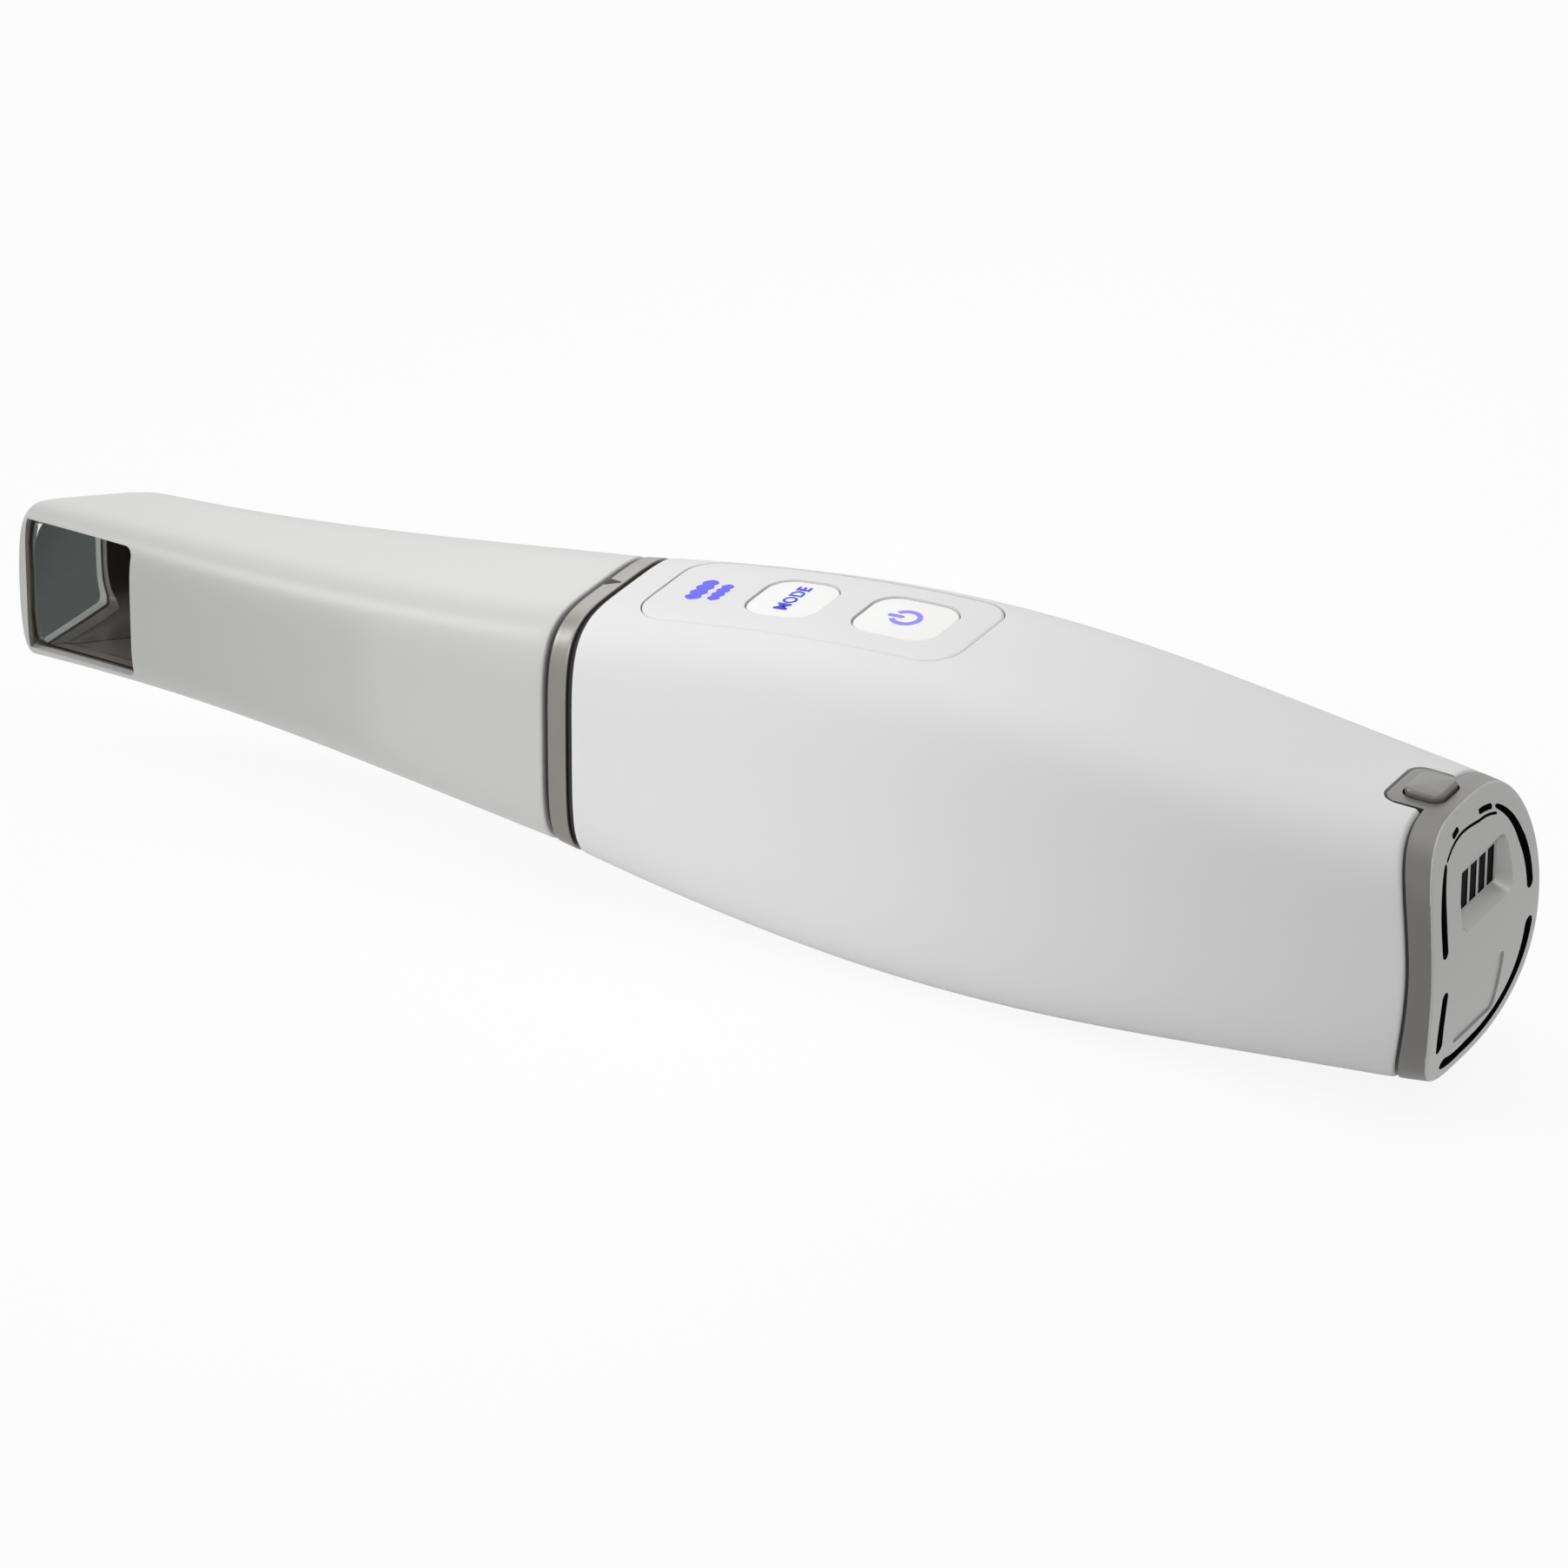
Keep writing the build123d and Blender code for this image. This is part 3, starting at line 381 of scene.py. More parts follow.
def outline(length, width, corner):
    """Points round a rounded rectangle drawn in by each inset, one column each."""
    sides = (max(int(length / 1.2), 4), max(int(width / 1.2), 4))
    points = []
    for quarter in range(4):
        turns = [math.pi / 2 * (quarter + k / 10) for k in range(10)]
        points += [("arc", quarter, math.cos(t), math.sin(t)) for t in turns]
        points += [("run", quarter, k / sides[quarter % 2], 0) for k in range(sides[quarter % 2])]

    def at(column, inset_there):
        reach = np.maximum(corner - inset_there, 0)
        half_x = length / 2 - np.maximum(inset_there, corner)
        half_y = width / 2 - np.maximum(inset_there, corner)
        x, y = np.empty(len(column)), np.empty(len(column))
        corners = ((1, 1), (-1, 1), (-1, -1), (1, -1))
        for k, (kind, quarter, a, b) in enumerate(points):
            here = column % len(points) == k
            sx, sy = corners[quarter]
            if kind == "arc":
                x[here] = sx * half_x[here] + reach[here] * a
                y[here] = sy * half_y[here] + reach[here] * b
            else:
                ex, ey = corners[(quarter + 1) % 4]
                turn = math.pi / 2 * (quarter + 1)
                x[here] = (sx + (ex - sx) * a) * half_x[here] + reach[here] * math.cos(turn)
                y[here] = (sy + (ey - sy) * a) * half_y[here] + reach[here] * math.sin(turn)
        return x, y

    return len(points), at


def plate(name, middle_x, length, width, corner, rows):
    """A rounded rectangle laid on the form's upper side; rows pair the inset with the depth."""
    columns, at = outline(length, width, corner)
    table = np.array(rows)

    def place(row, column):
        inset, depth = table[row].T
        x, y = at(column, inset)
        return middle_x + x, y, top(middle_x + x, y, depth)

    return skin(name, len(rows) - 1, columns, place)


def plate_rows(width, thickness, edge, dome=0.0, sunk=0.0):
    """Rows of a plate from the middle of its underside round its rim to the middle of its top."""
    half = width / 2
    rows = [(half * (1 - k / 8), thickness) for k in range(9)]
    rows += [(inward, sunk + along) for along, inward in rounded_edge(edge, 6, False)[::-1]]
    inner = half - edge
    for k in range(1, 15):
        share = k / 14
        rows.append((edge + inner * share, sunk - dome * (1 - (1 - share) ** 2)))
    return rows


def column_cutter(x, length, width, corner, z_from):
    """A rounded square column, for cutting an opening from above."""
    deselect()
    bpy.ops.mesh.primitive_cube_add(
        size=1, location=((x - HALF_LENGTH) * MM, 0, ((z_from + OPENING_TO_Z) / 2 + REST_HEIGHT) * MM),
        scale=(length * MM, width * MM, (OPENING_TO_Z - z_from) * MM))
    return round_columns(bpy.context.object, 2, corner)


def round_columns(cutter, axis, corner, side=0):
    """Round the edges of a block that run along one axis, or those on one side of it in x."""
    bpy.ops.object.transform_apply(location=True, rotation=True, scale=True)
    middle = sum(vertex.co.x for vertex in cutter.data.vertices) / len(cutter.data.vertices)
    bpy.ops.object.mode_set(mode="EDIT")
    bpy.ops.mesh.select_mode(type="EDGE")
    bpy.ops.mesh.select_all(action="DESELECT")
    bpy.ops.object.mode_set(mode="OBJECT")
    mesh = cutter.data
    for edge in mesh.edges:
        start = mesh.vertices[edge.vertices[0]].co
        run = mesh.vertices[edge.vertices[1]].co - start
        edge.select = abs(run[axis]) > 0.9 * run.length and (start.x - middle) * side >= 0
    bpy.ops.object.mode_set(mode="EDIT")
    bpy.ops.mesh.bevel(offset=corner * MM, segments=10, affect="EDGES")
    bpy.ops.object.mode_set(mode="OBJECT")
    return cutter


def cut(piece, cutter, material=None):
    """Take one shape out of another, and give the cut faces a material of their own where one is named."""
    if material:
        cutter.data.materials.append(material)
    choose(piece)
    step = piece.modifiers.new("cut", "BOOLEAN")
    step.object = cutter
    step.operation = "DIFFERENCE"
    step.solver = "EXACT"
    step.material_mode = "TRANSFER"
    bpy.ops.object.modifier_apply(modifier=step.name)
    bpy.data.objects.remove(cutter)


def round_rim(piece, inside, radius):
    """Round the sharp edges whose middles pass a test."""
    choose(piece)
    bpy.ops.object.mode_set(mode="EDIT")
    bpy.ops.mesh.select_mode(type="EDGE")
    bpy.ops.mesh.select_all(action="DESELECT")
    bpy.ops.mesh.edges_select_sharp(sharpness=math.radians(50))
    bpy.ops.object.mode_set(mode="OBJECT")
    mesh = piece.data
    for edge in mesh.edges:
        if edge.select:
            middle = (mesh.vertices[edge.vertices[0]].co + mesh.vertices[edge.vertices[1]].co) / 2
            edge.select = inside(middle)
    bpy.ops.object.mode_set(mode="EDIT")
    bpy.ops.mesh.bevel(offset=radius, segments=3, affect="EDGES", clamp_overlap=True)
    bpy.ops.object.mode_set(mode="OBJECT")


def thicken(piece, millimetres, offset):
    """Give a sheet its thickness, to one side of it."""
    choose(piece)
    step = piece.modifiers.new("thickness", "SOLIDIFY")
    step.thickness = millimetres * MM
    step.offset = offset
    bpy.ops.object.modifier_apply(modifier=step.name)
    return piece


def join(pieces):
    """Join pieces into the first of them."""
    deselect()
    for piece in pieces:
        piece.select_set(True)
    bpy.context.view_layer.objects.active = pieces[0]
    bpy.ops.object.join()
    return pieces[0]


def smooth(piece, angle=35):
    """Smooth shading between faces that meet at less than an angle."""
    choose(piece)
    bpy.ops.object.shade_smooth_by_angle(angle=math.radians(angle))
    return piece


def dress(piece, body, slot, *materials):
    """Give a finished piece its materials, unless it has them, and its body; the slot is not used."""
    for material in materials:
        piece.data.materials.append(material)
    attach(piece, body)
    return piece


def paint(node, material):
    """Give a CAD node its finished material."""
    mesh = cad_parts[node].data
    mesh.materials.clear()
    mesh.materials.append(material)


# Materials


def add(tree, kind, settings=None, links=None):
    """Add a node with its settings and links."""
    item = tree.nodes.new(kind)
    for name, value in (settings or {}).items():
        if name in item.inputs:
            item.inputs[name].default_value = value
        else:
            setattr(item, name, value)
    for name, source in (links or {}).items():
        tree.links.new(source, item.inputs[name])
    return item


def finish(name, settings, pattern):
    """A material with its constants on the shader and a pattern function for what varies."""
    if name in bpy.data.materials:
        return bpy.data.materials[name]
    material = bpy.data.materials.new(name)
    material.use_nodes = True
    tree = material.node_tree
    tree.nodes.clear()
    shader = add(tree, "ShaderNodeBsdfPrincipled", settings)
    place = add(tree, "ShaderNodeTexCoord").outputs["Object"]
    pattern(tree, shader, place)
    add(tree, "ShaderNodeOutputMaterial", links={"Surface": shader.outputs["BSDF"]})
    return material


def tint(tree, shader, height, colour, spread):
    """Vary the base colour about its own value with a 0 to 1 pattern."""
    low = [c * (1 - spread) for c in colour[:3]] + [1.0]
    high = [min(c * (1 + spread), 1.0) for c in colour[:3]] + [1.0]
    mix = add(tree, "ShaderNodeMix", {"data_type": "RGBA"})
    tree.links.new(height, mix.inputs[0])
    mix.inputs[6].default_value = low
    mix.inputs[7].default_value = high
    tree.links.new(mix.outputs[2], shader.inputs["Base Color"])


def haze(tree, shader, place, size_mm, detail, rough_from, rough_to):
    """Noise of one size for the roughness."""
    noise = add(tree, "ShaderNodeTexNoise", {"Scale": 1 / (size_mm * MM), "Detail": detail},
                {"Vector": place})
    span = add(tree, "ShaderNodeMapRange", {"To Min": rough_from, "To Max": rough_to},
               {"Value": noise.outputs["Fac"]})
    tree.links.new(span.outputs["Result"], shader.inputs["Roughness"])
    return noise.outputs["Fac"]


def grain(tree, shader, place, size_mm, rough_from, rough_to, strength, height_mm):
    """Fine noise of one grain size for the roughness and the bump."""
    height = haze(tree, shader, place, size_mm, 3.0, rough_from, rough_to)
    bump = add(tree, "ShaderNodeBump", {"Strength": strength, "Distance": height_mm * MM}, {"Height": height})
    tree.links.new(bump.outputs["Normal"], shader.inputs["Normal"])
    return height


def moulded_abs(name, colour, rough):
    """Moulded ABS: an even white with a satin sheen and a very fine spark-eroded texture."""

    def pattern(tree, shader, place):
        # Spark-eroded grain is about 0.05 mm; it is drawn at 0.35 mm so that it shows
        grain(tree, shader, place, 0.35, rough - 0.03, rough + 0.04, 0.12, 0.012)
        flow = add(tree, "ShaderNodeTexNoise", {"Scale": 1 / (22 * MM), "Detail": 2.0}, {"Vector": place})
        tint(tree, shader, flow.outputs["Fac"], colour, 0.012)

    return finish(name, {"IOR": 1.53, "Specular IOR Level": 0.5}, pattern)


def turned_alloy():
    """Anodised aluminium collar: turned round, so its reflections draw out into faint rings and streaks."""
    colour = settings_of("colours").collar

    def pattern(tree, shader, place):
        # Turning marks are about 0.03 mm apart; they are drawn 0.2 mm apart so that they show
        lined = add(tree, "ShaderNodeMapping", {"Scale": (1 / (0.2 * MM), 1 / (9 * MM), 1 / (9 * MM))},
                    {"Vector": place})
        grain(tree, shader, lined.outputs["Vector"], 1000, 0.36, 0.5, 0.08, 0.01)
        cloud = add(tree, "ShaderNodeTexNoise", {"Scale": 1 / (6 * MM), "Detail": 4.0}, {"Vector": place})
        tint(tree, shader, cloud.outputs["Fac"], colour, 0.1)

    return finish("turned_anodised_aluminium", {"Metallic": 1.0}, pattern)


def satin_grey(name, colour, rough):
    """Metallic grey lacquer on moulded plastic: fine flakes that give a soft, slightly bright sheen."""

    def pattern(tree, shader, place):
        # Lacquer flakes are about 0.03 mm; they are drawn at 0.15 mm so that they show
        flakes = grain(tree, shader, place, 0.15, rough - 0.05, rough + 0.05, 0.06, 0.01)
        tint(tree, shader, flakes, colour, 0.08)

    return finish(name, {"Metallic": 0.35, "IOR": 1.5}, pattern)


def dark_plastic(name, code, rough, size_mm=0.4, shine=0.5, depth=1.0):
    """Black moulded plastic or rubber, and also near-black walls painted as shade in hollows or a dark card
    painted into reflections: deep tone, broad dull highlights, a slight grain.
    """
    colour = linear(code)

    def pattern(tree, shader, place):
        height = grain(tree, shader, place, size_mm, rough - 0.05, rough + 0.08, 0.15 * depth, 0.02)
        tint(tree, shader, height, colour, 0.15 * depth)

    return finish(name, {"IOR": 1.5, "Specular IOR Level": shine}, pattern)


def lit_ink(name, colour):
    """Violet legend lit from below: saturated, even, with a faint glow and a grain like screen print."""

    def pattern(tree, shader, place):
        # Screen mesh is about 0.1 mm; it is drawn at 0.25 mm so that it shows
        height = grain(tree, shader, place, 0.25, 0.4, 0.5, 0.05, 0.004)
        tint(tree, shader, height, colour, 0.1)

    return finish(name, {"Emission Color": list(colour), "Emission Strength": 0.07, "IOR": 1.5}, pattern)


def mirror_glass():
    """Front-silvered glass that is heated against fog: a clean reflection with a slight haze."""
    colour = linear("#e4e7e7")

    def pattern(tree, shader, place):
        cloud = haze(tree, shader, place, 4, 3.0, 0.02, 0.05)
        tint(tree, shader, cloud, colour, 0.05)

    return finish("front_silvered_glass", {"Metallic": 1.0}, pattern)


def coated_glass(name, code):
    """Coated optical glass: clear, with a faint tint and a sharp highlight."""
    colour = linear(code)

    def pattern(tree, shader, place):
        haze(tree, shader, place, 5, 2.0, 0.02, 0.06)

    return finish(name, {"Base Color": colour, "Transmission Weight": 0.9, "IOR": 1.5}, pattern)


def machined_metal(name, code, rough):
    """Milled or plated metal: bright, with short tool marks along the part."""
    colour = linear(code)

    def pattern(tree, shader, place):
        lined = add(tree, "ShaderNodeMapping", {"Scale": (1 / (3 * MM), 1 / (0.3 * MM), 1 / (0.3 * MM))},
                    {"Vector": place})
        height = grain(tree, shader, lined.outputs["Vector"], 1000, rough - 0.06, rough + 0.08, 0.1, 0.01)
        tint(tree, shader, height, colour, 0.08)

    return finish(name, {"Metallic": 1.0}, pattern)


def settings_of(group):
    """The sizes or the colours kept on the scene."""
    scene = bpy.context.scene
    return scene.scanner_sizes if group == "sizes" else scene.scanner_colours


# Pieces


def nose_end(y, z, inset):
    """Where the tip ends: its arched nose blended into the slanted back behind the mirror."""
    nose = inset + arch(z, NOSE_ARCH)
    back = (y + BACK_START + inset / math.cos(BACK_ANGLE)) / math.tan(BACK_ANGLE)
    back = back + BACK_BEND * np.maximum(y - BACK_BEND_START, 0) ** 2
    return (nose + back + np.sqrt((nose - back) ** 2 + NOSE_BLEND ** 2)) / 2


def nose_radius(turn, inset):
    """Rounding of the nose's rim: small at the window side and below, larger above and behind."""
    above = np.clip(np.sin(turn), 0, 1) ** 3
    below = np.clip(-np.sin(turn), 0, 1) ** 3
    behind = np.clip(np.cos(turn), 0, 1)
    radius = NOSE_RIM + NOSE_RIM_ABOVE * above + NOSE_RIM_BELOW * below
    return np.maximum(radius + NOSE_RIM_BEHIND * behind * (1 - above) - inset, NOSE_RIM)


def tip_skin(edge):
    """The tip as one closed skin: nose, outer wall, rear lip, inner wall and inner nose."""
    turns = 208
    cap_rows, edge_rows, wall_rows = 26, 8, 90
    first_guess, least_x = 5.0, -3.0
    rear_x = COLLAR_X - TIP_GAP
    rows = [("cap", k / cap_rows, 0.0) for k in range(cap_rows)]
    rows += [("edge", k / edge_rows, 0.0) for k in range(edge_rows)]
    rows += [("wall", (k / wall_rows) ** 1.3, 0.0) for k in range(wall_rows)]
    rows += [("lip", along, inward) for along, inward in rounded_edge(edge, 4, True)]
    rows += [("wall", 1 - k / 40, TIP_WALL) for k in range(41)]
    rows += [("edge", 1 - k / 4, TIP_WALL) for k in range(1, 5)]
    rows += [("cap", 1 - k / 12, TIP_WALL) for k in range(1, 13)]
    kinds = np.array([("cap", "edge", "wall", "lip").index(row[0]) for row in rows])
    first = np.array([row[1] for row in rows])
    second = np.array([row[2] for row in rows])

    def place(row, column):
        kind, share, inset = kinds[row], first[row], second[row]
        turn = 2 * math.pi * (column % turns) / turns
        radius = nose_radius(turn, inset)
        swing = np.where(kind == 1, (1 - share) * math.pi / 2, 0.0)
        swing = np.where(kind == 0, math.pi / 2, swing)
        drawn = inset + radius * (1 - np.cos(swing))
        drawn = np.where(kind == 3, inset, drawn)
        shrink = np.where(kind == 0, share, 1.0)
        # Each round brings the station closer to the nose, which depends on the place it gives
        x = np.full(len(row), first_guess)
        for _ in range(8):
            y, z = around(np.maximum(x, least_x), turn, drawn)
            middle = section(np.maximum(x, least_x))[1]
            y, z = y * shrink, middle + (z - middle) * shrink
            start = nose_end(y, z, inset) + radius * (1 - np.sin(swing))
            along = np.where(kind == 2, share * (rear_x - np.where(inset > 0, 0, edge) - start), 0.0)
            x = np.where(kind == 3, rear_x - share, start + along)
        return x, y, z

    return skin("tip_housing", len(rows) - 1, turns, place)


def on_window_rim(point):
    """If a point lies on the outer rim of the tip window."""
    x, y, z = point.x / MM + HALF_LENGTH, point.y / MM, point.z / MM - REST_HEIGHT
    beside = abs(x - WINDOW_X) > WINDOW_LENGTH / 2 + 0.1 or abs(z) > WINDOW_HALF_HEIGHT + 0.1
    return not beside and abs(y - float(side(np.array([x]), np.array([z]), 0.0)[0])) < 0.2


def window_step():
    """Cutter behind the window's lip, a little larger than the window."""
    length, height = WINDOW_LENGTH + 2 * LIP_STEP, 2 * (WINDOW_HALF_HEIGHT + LIP_STEP)
    columns, at = outline(length, height, WINDOW_CORNER)
    half = length / 2
    insets = np.array([half * (1 - k / 12) for k in range(13)] + [0.0, half])

    def place(row, column):
        x, z = at(column, insets[row])
        x = WINDOW_X + x
        return x, np.where(row < 13, side(x, z, LIP_DEPTH), LIP_END_Y), z

    return skin("window_step", len(insets) - 1, columns, place)


def in_bore(face):
    """If a face of the tip's skin belongs to the inner wall or the inner side of the nose."""
    x, y, z = face.center.x / MM + HALF_LENGTH, face.center.y, face.center.z - REST_HEIGHT * MM
    inwards = face.normal.y * y + face.normal.z * z < 0
    return face.normal.x > -0.3 and (inwards or (face.normal.x > 0.5 and x < 25.0))


def faces_bore(face):
    """If a face of the window's cutter leaves a wall at the nose or beside the mirror, dark like the bore."""
    return face.normal.x < -0.7 or face.normal.y > 0.7


class SCANNER_OT_tip(bpy.types.Operator):
    """Build the removable tip with its window, and finish the mirror and lining in it"""

    bl_idname = "scanner.tip"
    bl_label = "Tip"

    def execute(self, context):
        sizes = settings_of("sizes")
        tip = tip_skin(sizes.seam_edge / MM)
        middle_y = (WINDOW_FROM_Y + WINDOW_END_Y) / 2
        deselect()
        bpy.ops.mesh.primitive_cube_add(
            size=1, location=((WINDOW_X - HALF_LENGTH) * MM, middle_y * MM, REST_HEIGHT * MM),
            scale=(WINDOW_LENGTH * MM, (WINDOW_END_Y - WINDOW_FROM_Y) * MM, 2 * WINDOW_HALF_HEIGHT * MM))
        lining = dark_plastic("dark_tip_lining", "#8a8580", 0.2, depth=0.2)
        white = moulded_abs("moulded_white_heat_proof_plastic", settings_of("colours").tip, 0.36)
        window = round_columns(bpy.context.object, 1, WINDOW_CORNER, 1)
        for piece, is_dark in ((tip, in_bore), (window, faces_bore)):
            for material in (white, lining):
                piece.data.materials.append(material)
            for face in piece.data.polygons:
                face.material_index = 1 if is_dark(face) else 0
        cut(tip, window)
        cut(tip, window_step(), lining)
        round_rim(tip, on_window_rim, sizes.window_edge)
        smooth(tip)
        dress(tip, "tip", "white_plastic")
        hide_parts("tip_shell")
        paint("tip_mirror", mirror_glass())
        paint("tip_lining", lining)
        return {"FINISHED"}


def mark_place(row, column):
    """A small triangle on top of the collar that points at the handle."""
    share = row / 12
    x = MARK_X + MARK_LENGTH * share
    y = (column / 8 - 0.5) * MARK_WIDTH * (1 - share)
    return x, y, top(x, y, -MARK_LIFT)


class SCANNER_OT_collar(bpy.types.Operator):
    """Build the metal collar and the two seals beside it, with the index mark"""

    bl_idname = "scanner.collar"
    bl_label = "Collar"

    def execute(self, context):
        black = dark_plastic("black_seal_rubber", "#141414", 0.55)
        metal = turned_alloy()
        rings = (
            ("front_seal_ring", "collar_front_seal", COLLAR_X, FRONT_SEAL_END, 0.2, SEAL_INSET, black),
            ("collar_ring", "front_collar", FRONT_SEAL_END, REAR_SEAL_START, 0.22, 0.0, metal),
            ("rear_seal_ring", "collar_rear_seal", REAR_SEAL_START, HANDLE_X, 0.25, SEAL_INSET, black),
        )
        for name, node, x_from, x_to, edge, inset, material in rings:
            ring = sleeve(name, flat_end(x_from), flat_end(x_to), edge, inset, BORE_INSET, 6)
            smooth(ring, 50)
            dress(ring, "handle", "collar_metal" if material is metal else "seal_rubber", material)
            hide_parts(node)
        mark = skin("index_mark", 12, 8, mark_place)
        fill = dark_plastic("engraved_mark_fill", "#161616", 0.5, shine=0.2)
        dress(thicken(mark, MARK_THICKNESS, 1.0), "handle", "seal_rubber", fill)
        return {"FINISHED"}


class SCANNER_OT_handle(bpy.types.Operator):
    """Build the handle sleeve with the pocket for the panel and the notch for the cap's tongue"""

    bl_idname = "scanner.handle"
    bl_label = "Handle"

    def execute(self, context):
        edge = settings_of("sizes").seam_edge / MM
        body = sleeve("handle_housing", flat_end(HANDLE_X), parting_end(PARTING_X), edge, 0.0, HANDLE_WALL,
                      140, 224)
        half = PANEL_HALF_WIDTH + PANEL_GAP
        depth = [(half * (1 - k / 6), PANEL_THICKNESS) for k in range(7)]
        depth += [(half * k / 6, -3.0) for k in range(7)]
        grown = 2 * PANEL_GAP
        pocket = plate("pocket", PANEL_X, PANEL_LENGTH + grown, 2 * PANEL_HALF_WIDTH + grown,
                       PANEL_CORNER + PANEL_GAP, depth)
        cut(body, pocket)
        for x, length, width, corner in (
            (MODE_X, MODE_LENGTH + 2 * KEY_GAP, KEY_WIDTH + 2 * KEY_GAP, KEY_CORNER + KEY_GAP),
            (POWER_X, POWER_LENGTH + 2 * KEY_GAP, KEY_WIDTH + 2 * KEY_GAP, KEY_CORNER + KEY_GAP),
            (LIGHT_X, LIGHT_LENGTH, LIGHT_WIDTH, LIGHT_CORNER),
        ):
            cut(body, column_cutter(x, length, width, corner, OPENING_FROM_Z))
        reach = 20.0
        notch_x = TONGUE_X - TONGUE_GAP
        notch = column_cutter(notch_x + reach / 2, reach, 2 * (TONGUE_HALF_WIDTH + TONGUE_GAP),
                              TONGUE_CORNER + TONGUE_GAP, 0.0)
        cut(body, notch)
        smooth(body)
        white = moulded_abs("moulded_white_abs", settings_of("colours").housing, 0.36)
        dress(body, "handle", "white_plastic", white)
        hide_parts("handle_shell")
        return {"FINISHED"}


def make_key(name, x, length):
    """One pillowed key with its plunger."""
    sizes = settings_of("sizes")
    dome = sizes.key_dome / MM
    key = plate(name, x, length, KEY_WIDTH, KEY_CORNER,
                plate_rows(min(length, KEY_WIDTH), KEY_THICKNESS, sizes.key_edge / MM, dome, dome))
    under = float(top(np.array([x]), np.array([0.0]), KEY_THICKNESS)[0])
    deselect()
    bpy.ops.mesh.primitive_cylinder_add(
        vertices=32, radius=STEM_RADIUS * MM, depth=(under - STEM_END) * MM,
        location=((x - HALF_LENGTH) * MM, 0, ((under + STEM_END) / 2 + REST_HEIGHT) * MM))
    stem = bpy.context.object
    bpy.ops.object.transform_apply(location=True, rotation=True, scale=True)
    return smooth(join([key, stem]))


def on_keys(along, across):
    """Vertex places of a print on the panel and keys."""
    height = settings_of("sizes").ink_height / MM
    return along, across, top(along, across, -PRINT_LIFT - height)


def legend(name, at, plan, rows, columns, material, body):
    """A thin print on the panel, given in its own small plan."""

    def place(row, column):
        along, across = plan(row / rows, column / columns)
        return on_keys(at[0] + along, at[1] + across)

    return print_piece(skin(name, rows, columns, place), material, body)


def print_piece(sheet, material, body):
    """A print with its thickness and its ink."""
    return dress(close(thicken(sheet, PRINT_THICKNESS, -1.0)), body, "light_plastic", material)


def tooth_row(length, width):
    """Plan of a row of rounded lumps, as on the legend for the two jaws."""

    def place(share, side):
        end = np.sqrt(np.clip(1 - np.abs(2 * share - 1) ** 6, 0, 1))
        swell = 0.62 + 0.38 * np.abs(np.sin(math.pi * JAW_TEETH * share))
        return (side - 0.5) * width * end * swell, (share - 0.5) * length

    return place


def power_arc():
    """Plan of the open ring of the power sign, open towards the tip."""

    def place(share, side):
        turn = math.radians(POWER_RING_TURN) * (share - 0.5)
        reach = POWER_RING_RADIUS + (side - 0.5) * POWER_STROKE
        return reach * np.cos(turn), reach * np.sin(turn)

    return place


def power_bar():
    """Plan of the bar of the power sign."""

    def place(share, side):
        end = np.sqrt(np.clip(1 - np.abs(2 * share - 1) ** 8, 0, 1))
        return (share - 0.5) * POWER_BAR_LENGTH, (side - 0.5) * POWER_STROKE * end

    return place


def mode_word(material):
    """The word on the mode key, read from the near side with its letters' tops towards the tip."""
    deselect()
    bpy.ops.object.text_add()
    letters = bpy.context.object.data
    letters.body = "MODE"
    letters.align_x = "CENTER"
    letters.offset = 0.02
    letters.space_character = 1.12
    bpy.ops.object.convert(target="MESH")
    piece = bpy.context.object
    piece.name = "mode_legend"
    spots = np.empty(3 * len(piece.data.vertices))
    piece.data.vertices.foreach_get("co", spots)
    spots = spots.reshape(-1, 3)
    low, high = spots.min(axis=0), spots.max(axis=0)
    across = ((spots[:, 0] - low[0]) / (high[0] - low[0]) - 0.5) * WORD_LENGTH
    along = MODE_X - ((spots[:, 1] - low[1]) / (high[1] - low[1]) - 0.5) * WORD_HEIGHT
    piece.data.vertices.foreach_set("co", metres(*on_keys(along, across)).ravel())
    piece.data.update()
    return print_piece(close(piece), material, "mode_key")


